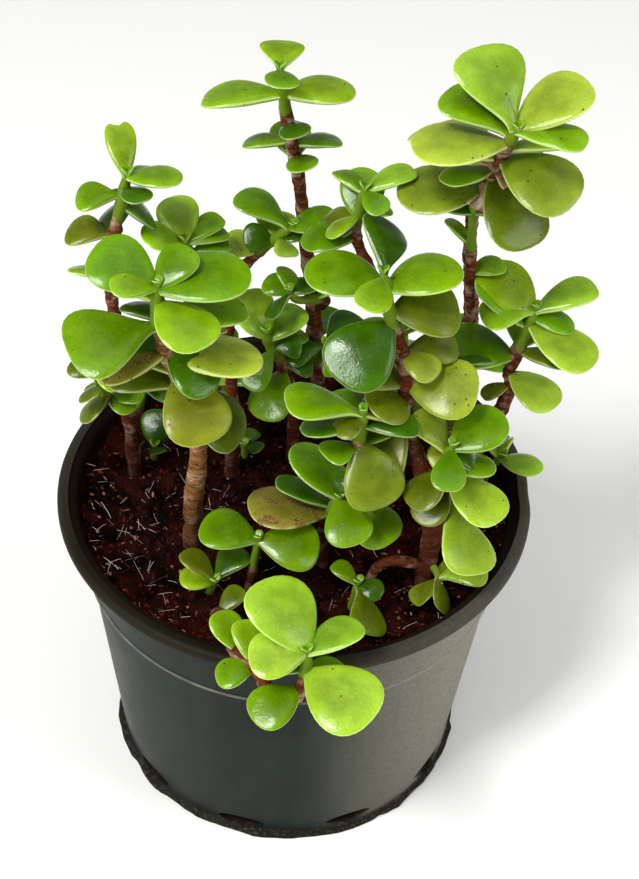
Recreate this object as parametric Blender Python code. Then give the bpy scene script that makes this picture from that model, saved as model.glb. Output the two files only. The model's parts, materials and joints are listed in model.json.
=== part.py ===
"""Potted jade plant: a nursery pot, its soil, woody stems and their leafy shoots.

Units are metres with +Z up. The origin is the middle of the pot's foot, and -Y is the plant's front.
Plant dimensions are written in millimetres and degrees and turned to metres where a mesh is made.
"""
import math
from collections import namedtuple

import bpy
from mathutils import Matrix, Vector
from mathutils.bvhtree import BVHTree

# Units and fit
MM = 0.001
GAP = 0.3
SEARCH_GAP = 0.35

# Pot, in millimetres
POT_HEIGHT = 91.0
RIM_RADIUS = 62.5
RIM_WIDTH = 4.0
RIM_DEPTH = 3.4
FOOT_RADIUS = 48.6
FOOT_FLANGE = 1.6
FOOT_FLANGE_HEIGHT = 2.2
WALL = 1.2
FLOOR = 2.0
STEP_BELOW_RIM = 11.5
STEP_DEPTH = 0.5
EDGE_BEAD = 0.7
RIM_ROUND = 1.2
LIP_ROUND = 0.5
LIP_FLARE = 2.0
LIP_FLARE_DEPTH = 4.5
FLANGE_DRAFT = 0.2
FLANGE_SHOULDER = 0.4
FLOOR_FILLET = 1.5
CREASE_DEGREES = 35.0
POT_SIDES = 32
DRAIN_SLOTS = 10
DRAIN_SLOT_WIDTH = 12.0
DRAIN_SLOT_HEIGHT = 3.0
DRAIN_SLOT_SIDES = 6
DRAIN_ABOVE_FLOOR = 0.6
DRAIN_CUT_REACH = 5.0
DRAIN_FIRST_HEADING = 220.0

# Soil, in millimetres
SOIL_LEVEL = 80.0
SOIL_SIDES = 24
SOIL_RINGS = (12.0, 24.0, 36.0, 45.0, 51.5)
SOIL_EASE = 0.2
SOIL_CORNER_IN = 1.6
SOIL_CORNER_RUN = 1.2
SOIL_CORNER_RISE = 2.5
LUMP_HEIGHTS = (1.1, 0.8)
LUMP_SPANS = ((7.5, 9.0), (3.9, 5.1))
SOIL_DISH = 6.0
SOIL_DISH_POWER = 8
SOIL_DROP = 0.6
ROOT_DEPTH = 10.0
COLLAR_HEIGHT = 7.0

# Stems and leaves, in millimetres and degrees
STEM_SIDES = 6
STEM_STEP = 7.0
SHORTEST_STEP = 0.8
SEAT_STEP = 0.2
CORE_SIDES = 5
HOLE_EASE = 0.1
ARCH_STEP = 4.0
ARCH_RADII = (1.9, 1.3)
ARCH_HOLE_EASE = 0.3
TIP_SINK = 1.4
LEAF_RATIO = 0.88
LEAF_ROOT_TAPER = 0.8
LEAF_TIP_TAPER = 0.5
LEAF_PROFILE_PEAK = 0.42
LEAF_STATIONS = {9.5: (0.18, 0.55, 0.88), 15.0: (0.14, 0.40, 0.70, 0.92),
                 99.0: (0.13, 0.33, 0.58, 0.80, 0.94)}
LEAF_RISE = 0.05
PLUMPNESS = 0.10
PLUMP_BASE = 0.45
PLUMP_AT_ENDS = 0.55
PLUMP_FORWARD = 1.2
NUDGES = (0, -8, 8, -16, 16, -24, 24, -34, 34)
SHRINKS = (1.0, 0.92, 0.84)
SHRINK_COST = 110.0
PARTNER_SHARE = 0.95
PARTNER_SPACING = 4.0
PARTNER_SPREAD = 50.0
FRONT_SINE = -0.1

# A stem starts in the soil, or on the stem named by carrier, and its route runs to its tip.
# Wood is the length of bare woody stem below the green shoot; a sprig with none is green all along.
# Radii are at the foot and at the tip. A leaf is (distance below the tip, heading, lift, length, roll):
# heading 0 is +X and 90 is away from the front, lift is up from level, roll turns the blade on its midrib.
# An arch is the route of a root that leaves the woody stem and dives into the soil.
Stem = namedtuple("Stem", "name carrier route wood radii leaves arch", defaults=(None,))

STEMS = (
    Stem("hero", "soil",
         ((42, 28, 80), (44, 27, 116), (42.5, 24.5, 138), (40.5, 20, 154), (39.5, 16, 166), (39.5, 11, 177),
          (41.5, 4, 189.5), (43, -2, 200), (44.5, -6.5, 208.5)), 92.0, (2.3, 1.3),
         ((0, 120, 38, 20.5, 0), (0, 25, 30, 19, 0), (1, 340, 5, 16, 0), (4, 150, 18, 18, 0),
          (7, 190, 0, 21.5, 5), (9, 165, -5, 22, 15), (14, 328, -10, 20, 15), (10, 15, 0, 13, -15),
          (20, 215, 5, 14, 10), (24, 308, -30, 19, 0), (27, 195, -5, 21, 0), (25, 100, 5, 16, 0))),
    Stem("front_left", "soil",
         ((-26, -14, 80), (-25.5, -16, 99), (-24, -18, 120), (-27, -20, 140), (-30.5, -22, 152.5),
          (-32, -24, 164), (-32, -24, 174.5)), 54.0, (2.7, 1.5),
         ((0, 160, 20, 17, -20), (0, 200, 15, 11, -15), (0, 50, 30, 12, 5), (2, 20, 5, 21.5, 0),
          (5, 315, -8, 17, 0), (12, 205, 0, 22.5, -5), (11, 140, 0, 10, 15), (19, 25, 5, 15, -20),
          (22, 212, -5, 17, 10), (22, 330, -20, 14, 10), (24, 12, -5, 22, -10), (30, 300, -25, 18.5, 5),
          (35, 340, -38, 19, 0))),
    Stem("main", "soil",
         ((35, -23.5, 80), (35, -23, 105), (30, -22, 123), (26, -18, 133), (26, -17, 140),
          (25, -16, 148), (22.5, -15, 155), (20, -14, 163.5), (18, -13, 173)), 46.0, (2.7, 1.5),
         ((0, 90, 20, 16, 40), (2, 255, 5, 14, -10), (4, 170, 5, 19, 0), (5, 20, 10, 18.5, -5),
          (11, 15, -5, 17, 25), (14, 225, -25, 19, -25), (16, 60, 10, 9, -35), (23, 20, 0, 14, 30),
          (23, 330, -10, 10, 10), (32, 345, 10, 17.5, 30), (36, 230, 20, 14, -20),
          (43, 220, -32, 18, -5)),
         ((35, -23, 85), (31, -26, 90.5), (25, -27.5, 92.5), (21, -28, 88), (21, -27, 80))),
    Stem("overhang", "soil",
         ((-17, -37, 80), (-16.8, -44, 87), (-15, -52, 91.5), (-11.3, -60.5, 94.3), (-6.4, -66, 94.5),
          (-3, -69.5, 91.7), (2, -71, 88.4), (4.5, -71, 93), (5.5, -70, 99.5), (5.5, -69, 105.5)),
         0.0, (1.9, 1.4),
         ((0, 125, 25, 20.5, 10), (1, 190, 5, 13.5, -15), (0, 35, 12, 15, -20), (6, 320, 0, 20.5, 15),
          (6, 150, 0, 13, 0), (12, 215, -10, 13.5, -10), (30, 195, -10, 9.5, -5), (30, 108, 25, 12, 10),
          (36, 125, 30, 11, 15), (57, 50, 25, 9, 0))),
    Stem("centre", "soil",
         ((14, -11, 80), (14, -18, 104), (15, -24, 127), (15.5, -28, 143.5)), 18.0, (2.0, 1.4),
         ((0, 185, 15, 19, 10), (1, 50, 5, 14, 5), (3, 225, -5, 8, 0),
          (6, 190, 0, 14.5, 20), (15, 215, 10, 10, 0), (17, 325, -10, 15, -20), (8, 100, 5, 14, 0),
          (40, 315, -15, 16, 0))),
    Stem("front_centre", "soil",
         ((8, -17, 80), (8, -18, 92.5), (9.5, -22, 104), (11.5, -25, 112)), 0.0, (1.7, 1.3),
         ((0, 135, 25, 17.5, 20), (7, 175, 25, 16, 15), (10, 190, 10, 21, 10), (1, 290, -15, 13.5, 10),
          (1, 85, 35, 8, -35))),
    Stem("right", "soil",
         ((43.5, 0.5, 80), (46, -2, 107), (51, 1, 119.5), (53, 2, 127.5), (52, 2, 132.5), (53, 2, 137),
          (54.5, 3, 143.5), (56.5, 4, 151.5)), 43.0, (2.2, 1.4),
         ((0, 145, 20, 18.5, -10), (1, 190, 0, 13.5, 0), (0, 20, 18, 16.5, 0), (3, 0, -10, 11, 0),
          (5, 325, -10, 19, -5), (6, 150, 15, 17, 15), (13, 335, 5, 13, -5), (20, 320, -10, 15, -5),
          (15, 155, 5, 18.5, -5), (17, 180, 10, 15.5, 20), (24, 205, -15, 8, 0), (12, 70, 5, 15, 0))),
    Stem("right_low", "main",
         ((35, -22.5, 103), (38, -24, 110), (37.5, -26, 120), (36.5, -26, 127), (37.5, -27, 133.5)),
         0.0, (1.6, 1.3),
         ((2, 35, 20, 15.5, 5), (5, 135, 25, 13.5, 10), (4, 80, 10, 8, -45), (2, 265, -5, 13, 0),
          (4, 20, -30, 9, 15), (10, 220, -25, 12.5, 10), (17, 225, -25, 11, -5), (13, 320, -15, 12, -10),
          (12, 320, -10, 17, -5), (9, 10, 0, 12, -10), (21, 295, -25, 20.5, -25))),
    Stem("left", "soil",
         ((-44.5, 12, 80), (-44.5, 9, 98), (-45.5, 7, 114), (-46, 5, 136), (-47, 3, 152),
          (-44.5, 0, 171), (-42.5, 0, 180), (-41, -1, 187.5)), 70.0, (2.0, 1.2),
         ((0, 105, 35, 14, 10), (1, 355, 5, 13, -10), (2, 50, -5, 9, -15), (7, 180, -5, 11, -10),
          (5, 300, 18, 11.5, 0), (8, 100, -20, 8, 0), (10, 45, -40, 12, 20), (17, 95, -5, 12, -35),
          (19, 165, -5, 12, -10), (34, 170, 5, 10.5, 25))),
    Stem("tall", "soil",
         ((6, 31, 80), (3.5, 26, 115.5), (1.5, 25, 136.5), (-1.5, 24, 161), (-3, 22, 174),
          (-4.5, 21, 183), (-6, 20, 190.5), (-7, 19, 198.5), (-8, 18, 205.5)), 90.0, (2.4, 1.3),
         ((0, 92, 5, 12.5, 0), (1, 275, 15, 12, -5), (8, 175, -10, 19.5, 5), (8, 15, 0, 17, -5),
          (17, 285, 20, 12, 12), (22, 175, -10, 12, 10), (23, 15, 0, 12, -15), (27, 285, 20, 12, 12))),
    Stem("main_back", "main",
         ((22.5, -15, 152), (19.5, -4, 157.5), (14.5, 2, 164), (11.5, 4, 170.5), (12, 4, 176.5),
          (13, 3, 184.5)), 0.0, (1.4, 1.2),
         ((10, 85, 45, 12.5, 0), (2, 130, 5, 10, 10), (1, 300, 0, 9, 15), (1, 25, 15, 13, -5),
          (12, 145, -30, 14, -25), (9, 215, -20, 9, 25), (15, 175, -10, 13.5, 0))),
    Stem("mid_left", "soil",
         ((-18, 15, 80), (-17.5, 8, 112), (-19, 14, 131), (-18, 17, 142), (-15.5, 17, 149),
          (-9.5, 17, 156.5), (-3.5, 16, 163)), 66.0, (1.9, 1.2),
         ((0, 150, 20, 15.5, 10), (1, 15, 20, 12, 0), (7, 190, 15, 8, -45), (6, 295, 0, 8, -15),
          (12, 165, 5, 10, -20), (6, 60, 10, 12, 0))),
    Stem("mid_left_twig", "mid_left",
         ((-18.5, 14, 134), (-23, 12, 147), (-27, 8, 157), (-29, 6, 164.5)), 0.0, (1.4, 1.2),
         ((0, 115, 40, 12, -10), (1, 190, 20, 11.5, -10), (0, 40, 20, 11, 5), (1, 30, 0, 11, 0),
          (5, 20, 5, 10, 0))),
    Stem("mid_back", "soil",
         ((-1.5, 21.5, 80), (-2, 18, 104.5), (-5, 16, 118.5), (-8.5, 14, 126.5), (-9.5, 13, 132)),
         33.0, (1.8, 1.2),
         ((3, 125, 35, 13.5, 10), (4, 45, 25, 12.5, -5), (3, 150, 20, 12, 0), (7, 0, 10, 8, 30),
          (8, 235, -35, 12, -10), (15, 355, 0, 8, 10), (17, 245, -35, 14.5, 10))),
    Stem("tall_twig", "tall",
         ((2, 25, 130), (5.5, 23, 135), (2, 20, 137.5), (-2, 17, 139.5), (-4, 16, 143)), 0.0, (1.3, 1.1),
         ((1, 155, 10, 8, -20), (0, 110, 25, 8, 30), (1, 225, -25, 9, 30), (10, 25, 20, 11, -15))),
    Stem("tall_low", "tall",
         ((3.5, 25.5, 112), (5, 22, 118), (6, 20, 123)), 0.0, (1.3, 1.1),
         ((0, 80, 40, 13, 0), (0, 200, -5, 11, -15), (2, 300, -20, 9, 0), (1, 20, 10, 10, 10))),
    Stem("back_right", "soil",
         ((47, 17, 80), (44.5, 17, 116), (41, 12, 148), (39.5, 8, 163), (38.5, 6, 178)), 58.0, (1.6, 1.1),
         ((1, 30, 20, 8, 5), (1, 160, 5, 8, 5), (12, 145, 30, 9, 20), (22, 20, -15, 9, 0))),
    Stem("left_twig", "left",
         ((-45.5, 7, 110.5), (-48, 2, 115), (-50, -2, 124), (-51, -4, 129.5)), 0.0, (1.1, 0.9),
         ((1, 160, 10, 7.5, -15), (0, 340, -15, 6.5, 0), (6, 250, 5, 8, 35), (12, 235, -20, 10, 30),
          (14, 320, 0, 8, -10), (14, 15, 10, 9, -5))),
    Stem("right_side", "soil",
         ((50, 9, 80), (51, 7.5, 92), (52.5, 6.5, 96), (54.5, 6, 99.5)), 0.0, (1.2, 1.0),
         ((0, 335, 5, 12, -10), (0, 75, 0, 8, -50), (2, 110, -5, 8, 35))),
    Stem("main_foot", "main",
         ((35.5, -23.5, 89), (37.5, -27, 88.5), (38, -29.5, 87)), 0.0, (1.1, 0.9),
         ((1, 5, -5, 13, 5), (0, 275, -30, 12, -55), (0, 235, -25, 9, 30))),
    Stem("sprig_front_right", "soil",
         ((16.5, -31.5, 80), (17.5, -33, 90)), 0.0, (1.2, 1.0),
         ((0, 140, 15, 8.5, 0), (0, 340, 0, 7, 25), (2, 285, -25, 14.5, -35))),
    Stem("sprig_left", "soil",
         ((-10.5, -28, 80), (-9, -30, 92), (-8, -31, 102)), 0.0, (1.2, 1.0),
         ((0, 165, 5, 15, -5), (0, 0, 18, 15.5, 25))),
    Stem("sprig_far_left", "soil",
         ((-20.5, -31, 80), (-18.5, -34, 88.5)), 0.0, (1.1, 0.9),
         ((0, 140, 20, 11.5, 10), (0, 185, 15, 9, 0), (0, 50, 20, 11.5, -10))),
    Stem("sprig_back_left", "soil",
         ((-40, 19, 80), (-39.5, 19, 84)), 0.0, (1.0, 0.8),
         ((0, 80, 55, 11, 0), (0, 290, 30, 6, 0))),
    Stem("tall_back", "tall",
         ((4.5, 28, 99), (4, 33, 105), (3, 37, 111)), 0.0, (1.4, 1.1),
         ((0, 70, 20, 12, 0), (0, 250, 15, 10, 0), (5, 155, 5, 12.5, 0), (5, 340, 0, 12, 0))),
    Stem("back_middle", "soil",
         ((24, 37, 80), (26, 35, 100), (27, 32, 119)), 22.0, (1.7, 1.2),
         ((0, 60, 25, 13, 0), (0, 240, 10, 10, 0), (6, 150, 5, 14, 0), (7, 335, 0, 12, 0),
          (13, 75, -10, 13, 0))),
    Stem("hero_back", "hero",
         ((43, 27.5, 100), (44, 32, 106), (44.5, 36, 111)), 0.0, (1.4, 1.1),
         ((0, 100, 25, 12, 0), (0, 285, 5, 9, 0), (5, 15, 0, 11.5, 0), (5, 190, 5, 11, 0))),
    Stem("left_back", "left",
         ((-44.5, 9, 96), (-42.5, 16, 103), (-40, 22, 110)), 0.0, (1.4, 1.1),
         ((0, 80, 25, 13, 0), (0, 255, 10, 9, 0), (5, 165, 5, 12.5, 0), (6, 350, 0, 12, 0))),
    Stem("mid_left_back", "mid_left",
         ((-17.5, 9, 100), (-20, 17, 106), (-22, 25, 111)), 0.0, (1.4, 1.1),
         ((0, 100, 20, 13, 0), (0, 275, 5, 9, 0), (6, 20, 5, 12, 0), (6, 200, 0, 12, 0))),
    Stem("sprig_middle", "soil",
         ((-15, 22, 80), (-15, 21, 84)), 0.0, (1.0, 0.8),
         ((0, 150, 25, 7, 0), (0, 330, 25, 6.5, 0), (0, 60, 30, 6, 0))),
)

# Colours are linear base colours
FINISHES = {
    "pot_plastic": ((0.030, 0.036, 0.034), 0.42),
    "soil": ((0.020, 0.009, 0.006), 0.95),
    "bark": ((0.130, 0.060, 0.035), 0.85),
    "leaf": ((0.120, 0.300, 0.020), 0.35),
}


def clear_scene():
    """Remove every object, so the script gives the same model each time."""
    for obj in list(bpy.data.objects):
        bpy.data.objects.remove(obj, do_unlink=True)


def material(name):
    """Return the Principled material of a finish, made once."""
    found = bpy.data.materials.get(name)
    if found:
        return found
    colour, roughness = FINISHES[name]
    made = bpy.data.materials.new(name)
    made.use_nodes = True
    shader = made.node_tree.nodes["Principled BSDF"]
    shader.inputs["Base Color"].default_value = (*colour, 1.0)
    shader.inputs["Roughness"].default_value = roughness
    shader.inputs["Metallic"].default_value = 0.0
    return made


def add_object(name, points, faces, finish):
    """Make a smooth-shaded mesh object from millimetre points."""
    mesh = bpy.data.meshes.new(name)
    mesh.from_pydata([Vector(p) * MM for p in points], [], faces)
    mesh.shade_smooth()
    mesh.materials.append(material(finish))
    obj = bpy.data.objects.new(name, mesh)
    bpy.context.scene.collection.objects.link(obj)
    return obj


def apply_boolean(obj, others, operation):
    """Join others to obj or cut them from it, then remove them."""
    group = bpy.data.collections.new("operands")
    bpy.context.scene.collection.children.link(group)
    for other in others:
        bpy.context.scene.collection.objects.unlink(other)
        group.objects.link(other)
    step = obj.modifiers.new(operation.lower(), "BOOLEAN")
    step.operation = operation
    step.operand_type = "COLLECTION"
    step.collection = group
    step.solver = "EXACT"
    graph = bpy.context.evaluated_depsgraph_get()
    joined = bpy.data.meshes.new_from_object(obj.evaluated_get(graph))
    obj.modifiers.clear()
    obj.data = joined
    for other in others:
        bpy.data.objects.remove(other, do_unlink=True)
    bpy.data.collections.remove(group)


def turned(profile, sides):
    """Return points and faces of a profile of (radius, height) turned about Z.

    A radius of 0 at either end closes the shape with one point.
    """
    points = []
    rings = []
    for radius, height in profile:
        if radius == 0:
            rings.append([len(points)])
            points.append((0.0, 0.0, height))
            continue
        ring = []
        for side in range(sides):
            angle = 2 * math.pi * side / sides
            ring.append(len(points))
            points.append((radius * math.cos(angle), radius * math.sin(angle), height))
        rings.append(ring)
    faces = []
    for low, high in zip(rings, rings[1:]):
        for side in range(sides):
            after = (side + 1) % sides
            if len(low) == 1:
                faces.append((low[0], high[after], high[side]))
            elif len(high) == 1:
                faces.append((low[side], low[after], high[0]))
            else:
                faces.append((low[side], low[after], high[after], high[side]))
    return points, faces


def outer_radius(height):
    """Return the pot wall's outer radius at a height, in millimetres."""
    top = RIM_RADIUS - RIM_WIDTH
    share = (height - FOOT_FLANGE_HEIGHT) / (POT_HEIGHT - FOOT_FLANGE_HEIGHT)
    return FOOT_RADIUS + (top - FOOT_RADIUS) * share


def inner_radius(height):
    """Return the pot wall's inner radius at a height, in millimetres."""
    return outer_radius(height) - WALL


def build_pot():
    """Turn the pot with its rolled rim, flared lip, step line and foot, and cut its drain slots."""
    step_height = POT_HEIGHT - STEP_BELOW_RIM
    rim_low = POT_HEIGHT - RIM_DEPTH
    profile = [
        (0, 0.0),
        (FOOT_RADIUS + FOOT_FLANGE - EDGE_BEAD, 0.0),
        (FOOT_RADIUS + FOOT_FLANGE, EDGE_BEAD),
        (FOOT_RADIUS + FOOT_FLANGE - FLANGE_DRAFT, FOOT_FLANGE_HEIGHT - FLANGE_SHOULDER),
        (FOOT_RADIUS, FOOT_FLANGE_HEIGHT + FLANGE_DRAFT),
        (outer_radius(step_height) - STEP_DEPTH, step_height),
        (outer_radius(step_height), step_height + STEP_DEPTH),
        (outer_radius(rim_low), rim_low),
        (RIM_RADIUS - EDGE_BEAD, rim_low),
        (RIM_RADIUS, rim_low + EDGE_BEAD),
        (RIM_RADIUS, POT_HEIGHT - RIM_ROUND),
        (RIM_RADIUS - RIM_ROUND, POT_HEIGHT),
        (inner_radius(POT_HEIGHT) + LIP_FLARE + LIP_ROUND, POT_HEIGHT),
        (inner_radius(POT_HEIGHT) + LIP_FLARE, POT_HEIGHT - LIP_ROUND),
        (inner_radius(POT_HEIGHT - LIP_FLARE_DEPTH), POT_HEIGHT - LIP_FLARE_DEPTH),
        (inner_radius(FLOOR + FLOOR_FILLET), FLOOR + FLOOR_FILLET),
        (inner_radius(FLOOR) - FLOOR_FILLET, FLOOR),
        (0, FLOOR),
    ]
    pot = add_object("pot", *turned(profile, POT_SIDES), "pot_plastic")
    slots = [drain_slot(DRAIN_FIRST_HEADING + 360.0 * n / DRAIN_SLOTS) for n in range(DRAIN_SLOTS)]
    apply_boolean(pot, slots, "DIFFERENCE")
    pot.data.set_sharp_from_angle(angle=math.radians(CREASE_DEGREES))
    return pot


def drain_slot(heading):
    """Return the lens-shaped cutter of one drain slot, just above the foot."""
    points = []
    middle = FLOOR + DRAIN_ABOVE_FLOOR + DRAIN_SLOT_HEIGHT / 2
    turn = Matrix.Rotation(math.radians(heading), 3, "Z")
    for radius in (FOOT_RADIUS - DRAIN_CUT_REACH, FOOT_RADIUS + DRAIN_CUT_REACH):
        for side in range(DRAIN_SLOT_SIDES):
            angle = 2 * math.pi * (side + 0.5) / DRAIN_SLOT_SIDES
            across = DRAIN_SLOT_WIDTH / 2 * math.cos(angle)
            up = DRAIN_SLOT_HEIGHT / 2 * math.sin(angle)
            points.append(turn @ Vector((radius, across, middle + up)))
    count = DRAIN_SLOT_SIDES
    faces = [tuple(reversed(range(count))), tuple(range(count, 2 * count))]
    for side in range(count):
        after = (side + 1) % count
        faces.append((side, after, count + after, count + side))
    cutter = add_object("drain_slot", points, faces, "pot_plastic")
    cutter.hide_render = True
    cutter.display_type = "WIRE"
    return cutter


def soil_height(x, y):
    """Return the height of the uneven soil, which rises towards the wall, in millimetres."""
    (broad_x, broad_y), (fine_x, fine_y) = LUMP_SPANS
    broad, fine = LUMP_HEIGHTS
    lumps = broad * math.sin(x / broad_x + 1.0) * math.cos(y / broad_y)
    lumps += fine * math.sin(x / fine_x - y / fine_y)
    dish = SOIL_DISH * (math.hypot(x, y) / inner_radius(SOIL_LEVEL)) ** SOIL_DISH_POWER
    return SOIL_LEVEL + lumps + dish - SOIL_DROP


def build_soil(stem_holes):
    """Fill the pot with soil and cut the plain holes that the stems stand in."""
    floor = FLOOR + GAP
    edge_low = inner_radius(floor + FLOOR_FILLET) - GAP - SOIL_CORNER_IN
    edge_high = inner_radius(SOIL_LEVEL) - GAP - SOIL_EASE
    profile = [(0, floor), (edge_low, floor)]
    profile += [(edge_low + SOIL_CORNER_RUN, floor + SOIL_CORNER_RISE), (edge_high, SOIL_LEVEL)]
    profile += [(radius, SOIL_LEVEL) for radius in reversed(SOIL_RINGS)] + [(0, SOIL_LEVEL)]
    points, faces = turned(profile, SOIL_SIDES)
    points = [(x, y, soil_height(x, y)) if z == SOIL_LEVEL else (x, y, z) for x, y, z in points]
    soil = add_object("soil", points, faces, "soil")
    apply_boolean(soil, stem_holes, "DIFFERENCE")
    return soil


def smooth_route(route, step):
    """Return points about step apart on a Catmull-Rom curve through the route."""
    knots = [Vector(p) for p in route]
    knots = [2 * knots[0] - knots[1]] + knots + [2 * knots[-1] - knots[-2]]
    curve = []
    for before, start, end, after in zip(knots, knots[1:], knots[2:], knots[3:]):
        count = max(1, round((end - start).length / step))
        for n in range(count):
            t = n / count
            bend = 2 * before - 5 * start + 4 * end - after
            twist = 3 * start - before - 3 * end + after
            curve.append(0.5 * (2 * start + (end - before) * t + bend * t * t + twist * t ** 3))
    curve.append(knots[-2])
    return curve


def route_length(points):
    """Return the length of a polyline."""
    return sum((b - a).length for a, b in zip(points, points[1:]))


def cut_route(points, start, end):
    """Return the stretch of a polyline between two distances along it."""
    kept = []
    walked = 0.0
    for a, b in zip(points, points[1:]):
        span = (b - a).length
        if not kept and walked + span > start:
            kept.append(a.lerp(b, (start - walked) / span))
        if kept and walked + span >= end - 1e-6:
            kept.append(a.lerp(b, (end - walked) / span))
            break
        if kept:
            kept.append(b)
        walked += span
    thinned = [kept[0]]
    for point in kept[1:]:
        if (point - thinned[-1]).length > SHORTEST_STEP:
            thinned.append(point)
    thinned[-1] = kept[-1]
    return thinned


def tube(points, radius_at, sides):
    """Return points and faces of a closed tube; radius_at takes the share along it."""
    total = route_length(points)
    side_axis = (points[1] - points[0]).orthogonal().normalized()
    rings = []
    walked = 0.0
    for n, point in enumerate(points):
        ahead = points[min(n + 1, len(points) - 1)] - points[max(n - 1, 0)]
        along = ahead.normalized()
        side_axis = (side_axis - along * side_axis.dot(along)).normalized()
        up_axis = along.cross(side_axis)
        if n:
            walked += (point - points[n - 1]).length
        radius = radius_at(walked / total)
        for side in range(sides):
            angle = 2 * math.pi * side / sides
            rings.append(point + radius * (math.cos(angle) * side_axis + math.sin(angle) * up_axis))
    last = (len(points) - 1) * sides
    faces = [tuple(reversed(range(sides))), tuple(range(last, last + sides))]
    for n in range(len(points) - 1):
        for side in range(sides):
            after = (side + 1) % sides
            low = n * sides
            faces.append((low + side, low + after, low + sides + after, low + sides + side))
    return rings, faces


def leaf_width(t):
    """Return the share of half the leaf's width at share t of its length."""
    return t ** LEAF_ROOT_TAPER * (1 - t) ** LEAF_TIP_TAPER / LEAF_PROFILE_PEAK


def leaf(base, heading, lift, length, roll, grow=0.0):
    """Return points and faces of one plump leaf blade, its root at base.

    The blade is a lens in section, widest past its middle. Grow thickens it all round.
    """
    along = math.radians(heading)
    rise = math.radians(lift)
    forward = Vector((math.cos(along) * math.cos(rise), math.sin(along) * math.cos(rise), math.sin(rise)))
    across = Matrix.Rotation(math.radians(roll), 3, forward) @ Vector((-math.sin(along), math.cos(along), 0))
    normal = forward.cross(across)
    half_width = length * LEAF_RATIO / 2
    half_thick = PLUMP_BASE + PLUMPNESS * length / 2
    stations = next(places for limit, places in LEAF_STATIONS.items() if length <= limit)
    points = [base - forward * grow]
    for t in stations:
        middle = base + forward * (t * length) + normal * (LEAF_RISE * length * math.sin(math.pi * t))
        wide = across * (half_width * leaf_width(t) + grow)
        fullness = math.sin(math.pi * min(1.0, t * PLUMP_FORWARD))
        thick = normal * (half_thick * (PLUMP_AT_ENDS + (1 - PLUMP_AT_ENDS) * fullness) + grow)
        points += [middle + wide, middle + thick, middle - wide, middle - thick]
    points.append(base + forward * (length + grow))
    faces = []
    for side in range(4):
        after = (side + 1) % 4
        faces.append((0, 1 + after, 1 + side))
        faces.append((len(points) - 1, len(points) - 5 + side, len(points) - 5 + after))
        for n in range(len(stations) - 1):
            low = 1 + 4 * n
            faces.append((low + side, low + after, low + 4 + after, low + 4 + side))
    return points, faces


def surface_tree(shapes):
    """Return one search tree of the surfaces of several (points, faces) shapes."""
    points = []
    faces = []
    for shape_points, shape_faces in shapes:
        start = len(points)
        points += [Vector(p) for p in shape_points]
        faces += [tuple(start + n for n in face) for face in shape_faces]
    return BVHTree.FromPolygons(points, faces)


def is_clear(shape, trees):
    """Return whether a shape's surface meets none of the trees."""
    tree = surface_tree([shape])
    return not any(tree.overlap(other) for other in trees)


def bend_options():
    """Return (turn, lift, share of length) changes for a leaf, the smallest first."""
    options = [(turn, lift, share) for turn in NUDGES for lift in NUDGES for share in SHRINKS]
    return sorted(options, key=lambda o: abs(o[0]) + abs(o[1]) + SHRINK_COST * (1 - o[2]))


BENDS = bend_options()


def place_leaf(base, spec, trees):
    """Return the leaf bent just clear of the trees, or None where it can't be."""
    heading, lift, length, roll = spec
    for turn, raised, share in BENDS:
        pose = (heading + turn, lift + raised, length * share, roll)
        if is_clear(leaf(base, *pose, grow=SEARCH_GAP), trees):
            return leaf(base, *pose)
    return None


def point_at(points, distance):
    """Return the point at a distance along a polyline."""
    for a, b in zip(points, points[1:]):
        span = (b - a).length
        if distance <= span:
            return a.lerp(b, distance / span)
        distance -= span
    return points[-1]


def hole_cutter(points, radius, sides):
    """Return the cutter of a plain hole round a stem of that radius."""
    cutter = add_object("stem_hole", *tube(points, lambda t: radius + GAP + HOLE_EASE, sides), "soil")
    cutter.hide_render = True
    cutter.display_type = "WIRE"
    return cutter


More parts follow.
